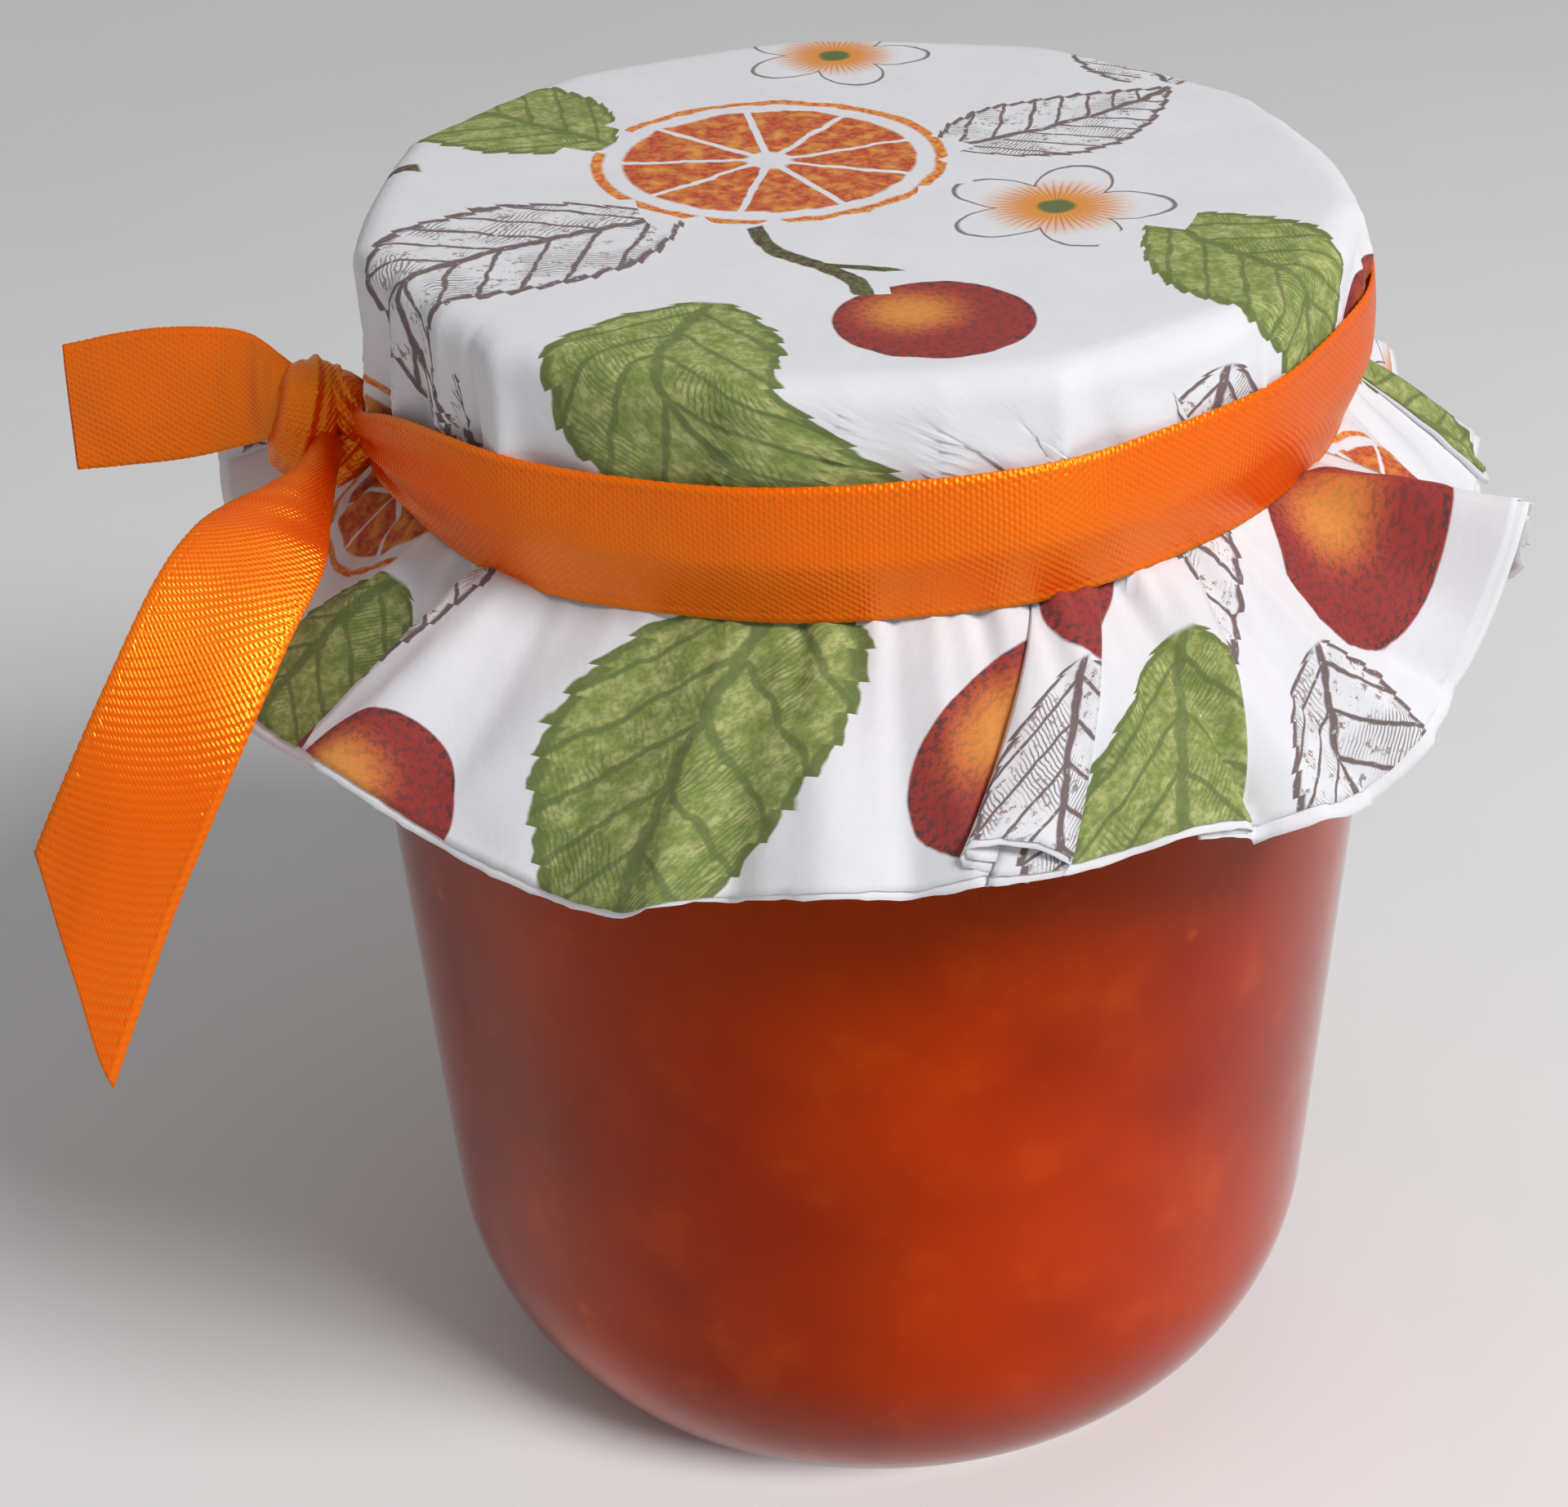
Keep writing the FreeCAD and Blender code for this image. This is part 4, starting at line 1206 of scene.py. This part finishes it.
def drawBlossom(pen, reach, turn):
    petal = pen.plus(pen.times(pen.size(pen.repeat("COSINE", turn, 2.5)), 0.22), 0.25)
    outside = pen.minus(reach, petal)
    face = pen.down(outside, -0.004, 0.006)
    rim = pen.times(face, pen.up(outside, -0.030, -0.012))
    streak = pen.times(pen.up(pen.repeat("SINE", turn, 45.0), 0.3, 0.8), pen.down(reach, 0.18, 0.32))
    tone = pen.tint(pen.down(reach, 0.10, 0.36), inks["paper"], inks["yellow"])
    tone = pen.tint(pen.times(streak, 0.7), tone, inks["orange"])
    tone = pen.tint(pen.down(reach, 0.06, 0.09), tone, inks["moss"])
    return face, pen.tint(pen.times(rim, 0.85), tone, inks["brown"])


def drawBerry(pen, x, y, reach):
    heart = pen.down(pen.reach(pen.plus(x, 0.10), pen.minus(y, 0.10)), 0.05, 0.36)
    coarse = pen.up(pen.speck, 0.50, 0.56)
    rim = pen.plus(pen.times(pen.up(reach, 0.36, 0.455), 0.5), 0.5)
    tone = pen.tint(pen.times(coarse, rim), inks["red"], inks["dark"])
    clear = pen.plus(pen.times(coarse, -0.8), 1.0)
    tone = pen.tint(pen.times(heart, clear), tone, inks["orange"])
    tone = pen.tint(pen.times(heart, heart, 0.7), tone, inks["yellow"])
    return pen.down(reach, 0.44, 0.455), tone


def drawTwig(pen, x, y):
    off = pen.minus(y, pen.times(pen.repeat("SINE", x, 7.0), 0.05))
    stem = pen.down(pen.size(off), 0.036, 0.048)
    branch = pen.times(pen.minus(x, 0.02), 0.8)
    fork = pen.times(pen.down(pen.size(pen.minus(off, branch)), 0.026, 0.036),
                     pen.up(x, 0.02, 0.03), pen.down(x, 0.28, 0.3))
    face = pen.times(pen.most(stem, fork), pen.down(pen.size(x), 0.47, 0.49))
    return face, pen.tint(pen.dotted, inks["moss"], inks["brown"])


def makePrintGroup():
    group, start, end = newGroup("botanicalPrint",
                                 [("Motif", "NodeSocketVector"), ("Sheet", "NodeSocketVector")],
                                 [("Color", "NodeSocketColor")])
    pen = Pen(group, start.outputs["Sheet"])
    whole, y, _ = splitVector(group, start.outputs["Motif"])
    kind = calc(group, "ROUND", pen.times(whole, 0.5))
    x = pen.minus(whole, pen.times(kind, 2.0))
    y = pen.plus(y, pen.times(pen.minus(pen.cloud(420.0), 0.5), 0.05))
    reach = pen.reach(x, y)
    turn = calc(group, "ARCTAN2", y, x)

    def isKind(number):
        return calc(group, "COMPARE", kind, float(number), 0.5)

    face, *marks = drawLeaf(pen, x, y)
    rose = pen.times(face, isKind(2), pen.up(pen.blot, 0.5, 0.75), 0.35)
    tone = pen.tint(rose, inks["paper"], inks["rose"])
    drawings = [(face, greenTone(pen, *marks)), (leafLines(pen, face, *marks), inks["brown"]),
                drawWheel(pen, reach, turn), drawBlossom(pen, reach, turn),
                drawBerry(pen, x, y, reach), drawTwig(pen, x, y)]
    for number, (mask, shade) in enumerate(drawings, 1):
        tone = pen.tint(pen.times(mask, isKind(number)), tone, shade)
    group.links.new(tone, end.inputs["Color"])
    return group


# Soft tissue paper: pressed fibres, a fine emboss, and the print on its outer side.
def makePaperMaterial(name, printed):
    material, tree, surface, _ = newMaterial(name)
    sheet = mapOf(tree, "sheetMap")
    fibre = noiseValue(tree, sheet, 900.0, 5.0, 0.65, (1.0, 0.35, 1.0))
    cloud = noiseValue(tree, sheet, 120.0, 4.0, 0.6)
    emboss = tree.nodes.new("ShaderNodeTexVoronoi")
    emboss.inputs["Scale"].default_value = 1500.0
    tree.links.new(sheet, emboss.inputs["Vector"])
    shade = mixColour(tree, calc(tree, "MULTIPLY", stepUp(tree, cloud, 0.3, 0.7), 0.6),
                      inks["paper"], colour(221, 220, 225))
    if printed:
        pattern = placeGroup(tree, printGroup)
        tree.links.new(mapOf(tree, "motifMap"), pattern.inputs["Motif"])
        tree.links.new(sheet, pattern.inputs["Sheet"])
        shade = mixColour(tree, 0.96, shade, pattern.outputs["Color"], "DARKEN")
    tree.links.new(shade, surface.inputs["Base Color"])
    settle(surface, {"Roughness": 0.82, "Specular IOR Level": 0.3, "Subsurface Weight": 0.25,
                     "Subsurface Radius": (0.0012, 0.0011, 0.0010), "Subsurface Scale": 1.0})
    dimples = calc(tree, "MULTIPLY", emboss.outputs["Distance"], 0.3)
    height = calc(tree, "MULTIPLY_ADD", fibre, 0.8, dimples)
    bumpInto(tree, surface, height, 0.35, 0.00012)
    return material


# Painted tin for the lid, which shows only under the paper's edge.
def makeLidMaterial():
    material, tree, surface, _ = newMaterial("paintedTin")
    place = objectPlace(tree)
    scuff = noiseValue(tree, place, 300.0, 4.0, 0.6)
    tone = mixColour(tree, stepUp(tree, scuff, 0.6, 0.8), colour(196, 190, 178), colour(150, 144, 134))
    tree.links.new(tone, surface.inputs["Base Color"])
    surface.inputs["Metallic"].default_value = 0.6
    tree.links.new(calc(tree, "MULTIPLY_ADD", scuff, 0.2, 0.25), surface.inputs["Roughness"])
    bumpInto(tree, surface, scuff, 0.2, 0.0001)
    return material


# Floor, lamps and camera.

studio = {
    "floor": colour(238, 238, 238), "floorSize": 6.0,
    "keyAzimuth": 46, "keyHeight": 48, "keyDistance": 0.75, "keySize": 0.26, "keyPower": 4.3,
    "fillAzimuth": -70, "fillHeight": 30, "fillDistance": 1.0, "fillSize": 0.9, "fillPower": 0.25,
    "sky": 0.30, "backdrop": 0.62,
}


def makeFloor():
    bm = bmesh.new()
    bmesh.ops.create_grid(bm, x_segments=1, y_segments=1, size=studio["floorSize"] / 2)
    mesh = bpy.data.meshes.new("studioFloor")
    bm.to_mesh(mesh)
    bm.free()
    floor = bpy.data.objects.new("studioFloor", mesh)
    bpy.context.scene.collection.objects.link(floor)
    material, tree, surface, _ = newMaterial("paleFloor")
    soft = noiseValue(tree, objectPlace(tree), 30.0, 3.0)
    tone = mixColour(tree, soft, studio["floor"], colour(232, 232, 232))
    tree.links.new(tone, surface.inputs["Base Color"])
    surface.inputs["Roughness"].default_value = 0.9
    mesh.materials.append(material)


def makeLamp(name, azimuth, height, distance, size, power):
    lamp = bpy.data.lights.new(name, "AREA")
    lamp.shape = "DISK"
    lamp.size = size
    lamp.energy = power
    holder = bpy.data.objects.new(name, lamp)
    bpy.context.scene.collection.objects.link(holder)
    flat = distance * math.cos(math.radians(height))
    spot = roundPoint(flat, azimuth, distance * math.sin(math.radians(height)))
    aim = Vector((0, 0, 0.06)) - spot
    holder.location = spot
    holder.rotation_euler = aim.to_track_quat("-Z", "Y").to_euler()


def makeStudio():
    makeFloor()
    s = studio
    makeLamp("keyLamp", s["keyAzimuth"], s["keyHeight"], s["keyDistance"], s["keySize"], s["keyPower"])
    makeLamp("fillLamp", s["fillAzimuth"], s["fillHeight"], s["fillDistance"], s["fillSize"],
             s["fillPower"])
    world = bpy.data.worlds.new("studioWorld")
    world.use_nodes = True
    tree = world.node_tree
    sky = tree.nodes["Background"]
    sky.inputs["Color"].default_value = (1, 1, 1, 1)
    path = tree.nodes.new("ShaderNodeLightPath")
    seen = calc(tree, "MAXIMUM", path.outputs["Is Camera Ray"], path.outputs["Is Glossy Ray"])
    seen = calc(tree, "MAXIMUM", seen, path.outputs["Is Transmission Ray"])
    tree.links.new(calc(tree, "MULTIPLY_ADD", seen, s["backdrop"] - s["sky"], s["sky"]),
                   sky.inputs["Strength"])
    bpy.context.scene.world = world
    bpy.context.scene.view_settings.view_transform = "Standard"


view = {
    "lens": 87.85, "sensor": 36, "place": (0, -258.42, 189.90),
    "azimuth": 1.5, "tilt": 61.5, "roll": -1.76,
}


def makeCamera():
    lens = bpy.data.cameras.new("camera")
    lens.lens = view["lens"]
    lens.sensor_width = view["sensor"]
    lens.clip_start = 0.01
    camera = bpy.data.objects.new("camera", lens)
    bpy.context.scene.collection.objects.link(camera)
    look = Matrix.Translation(Vector(view["place"]) * mm)
    for turn, axis in ((view["azimuth"], "Z"), (view["tilt"], "X"), (view["roll"], "Z")):
        look = look @ Matrix.Rotation(math.radians(turn), 4, axis)
    camera.matrix_world = look
    bpy.context.scene.camera = camera


makeCamera()
print("camera set")

weaveGroup = makeWeaveGroup()
printGroup = makePrintGroup()

glassPiece = makeGlass()
glassPiece.data.materials.append(makeGlassMaterial())
jamPiece = makeJam()
jamPiece.data.materials.append(makeJamMaterial())
lidPiece = makeLid()
lidPiece.data.materials.append(makeLidMaterial())
print("glass, jam and lid made")

coverPiece, plyPiece = makeCover()
coverPiece.data.materials.append(makePaperMaterial("printedPaper", True))
plyPiece.data.materials.append(makePaperMaterial("plainPaper", False))
print("paper cover made")

satinMaterial = makeSatin()
for piece in makeRibbon():
    piece.data.materials.append(satinMaterial)
print("ribbon made")

makeStudio()
print("studio made")
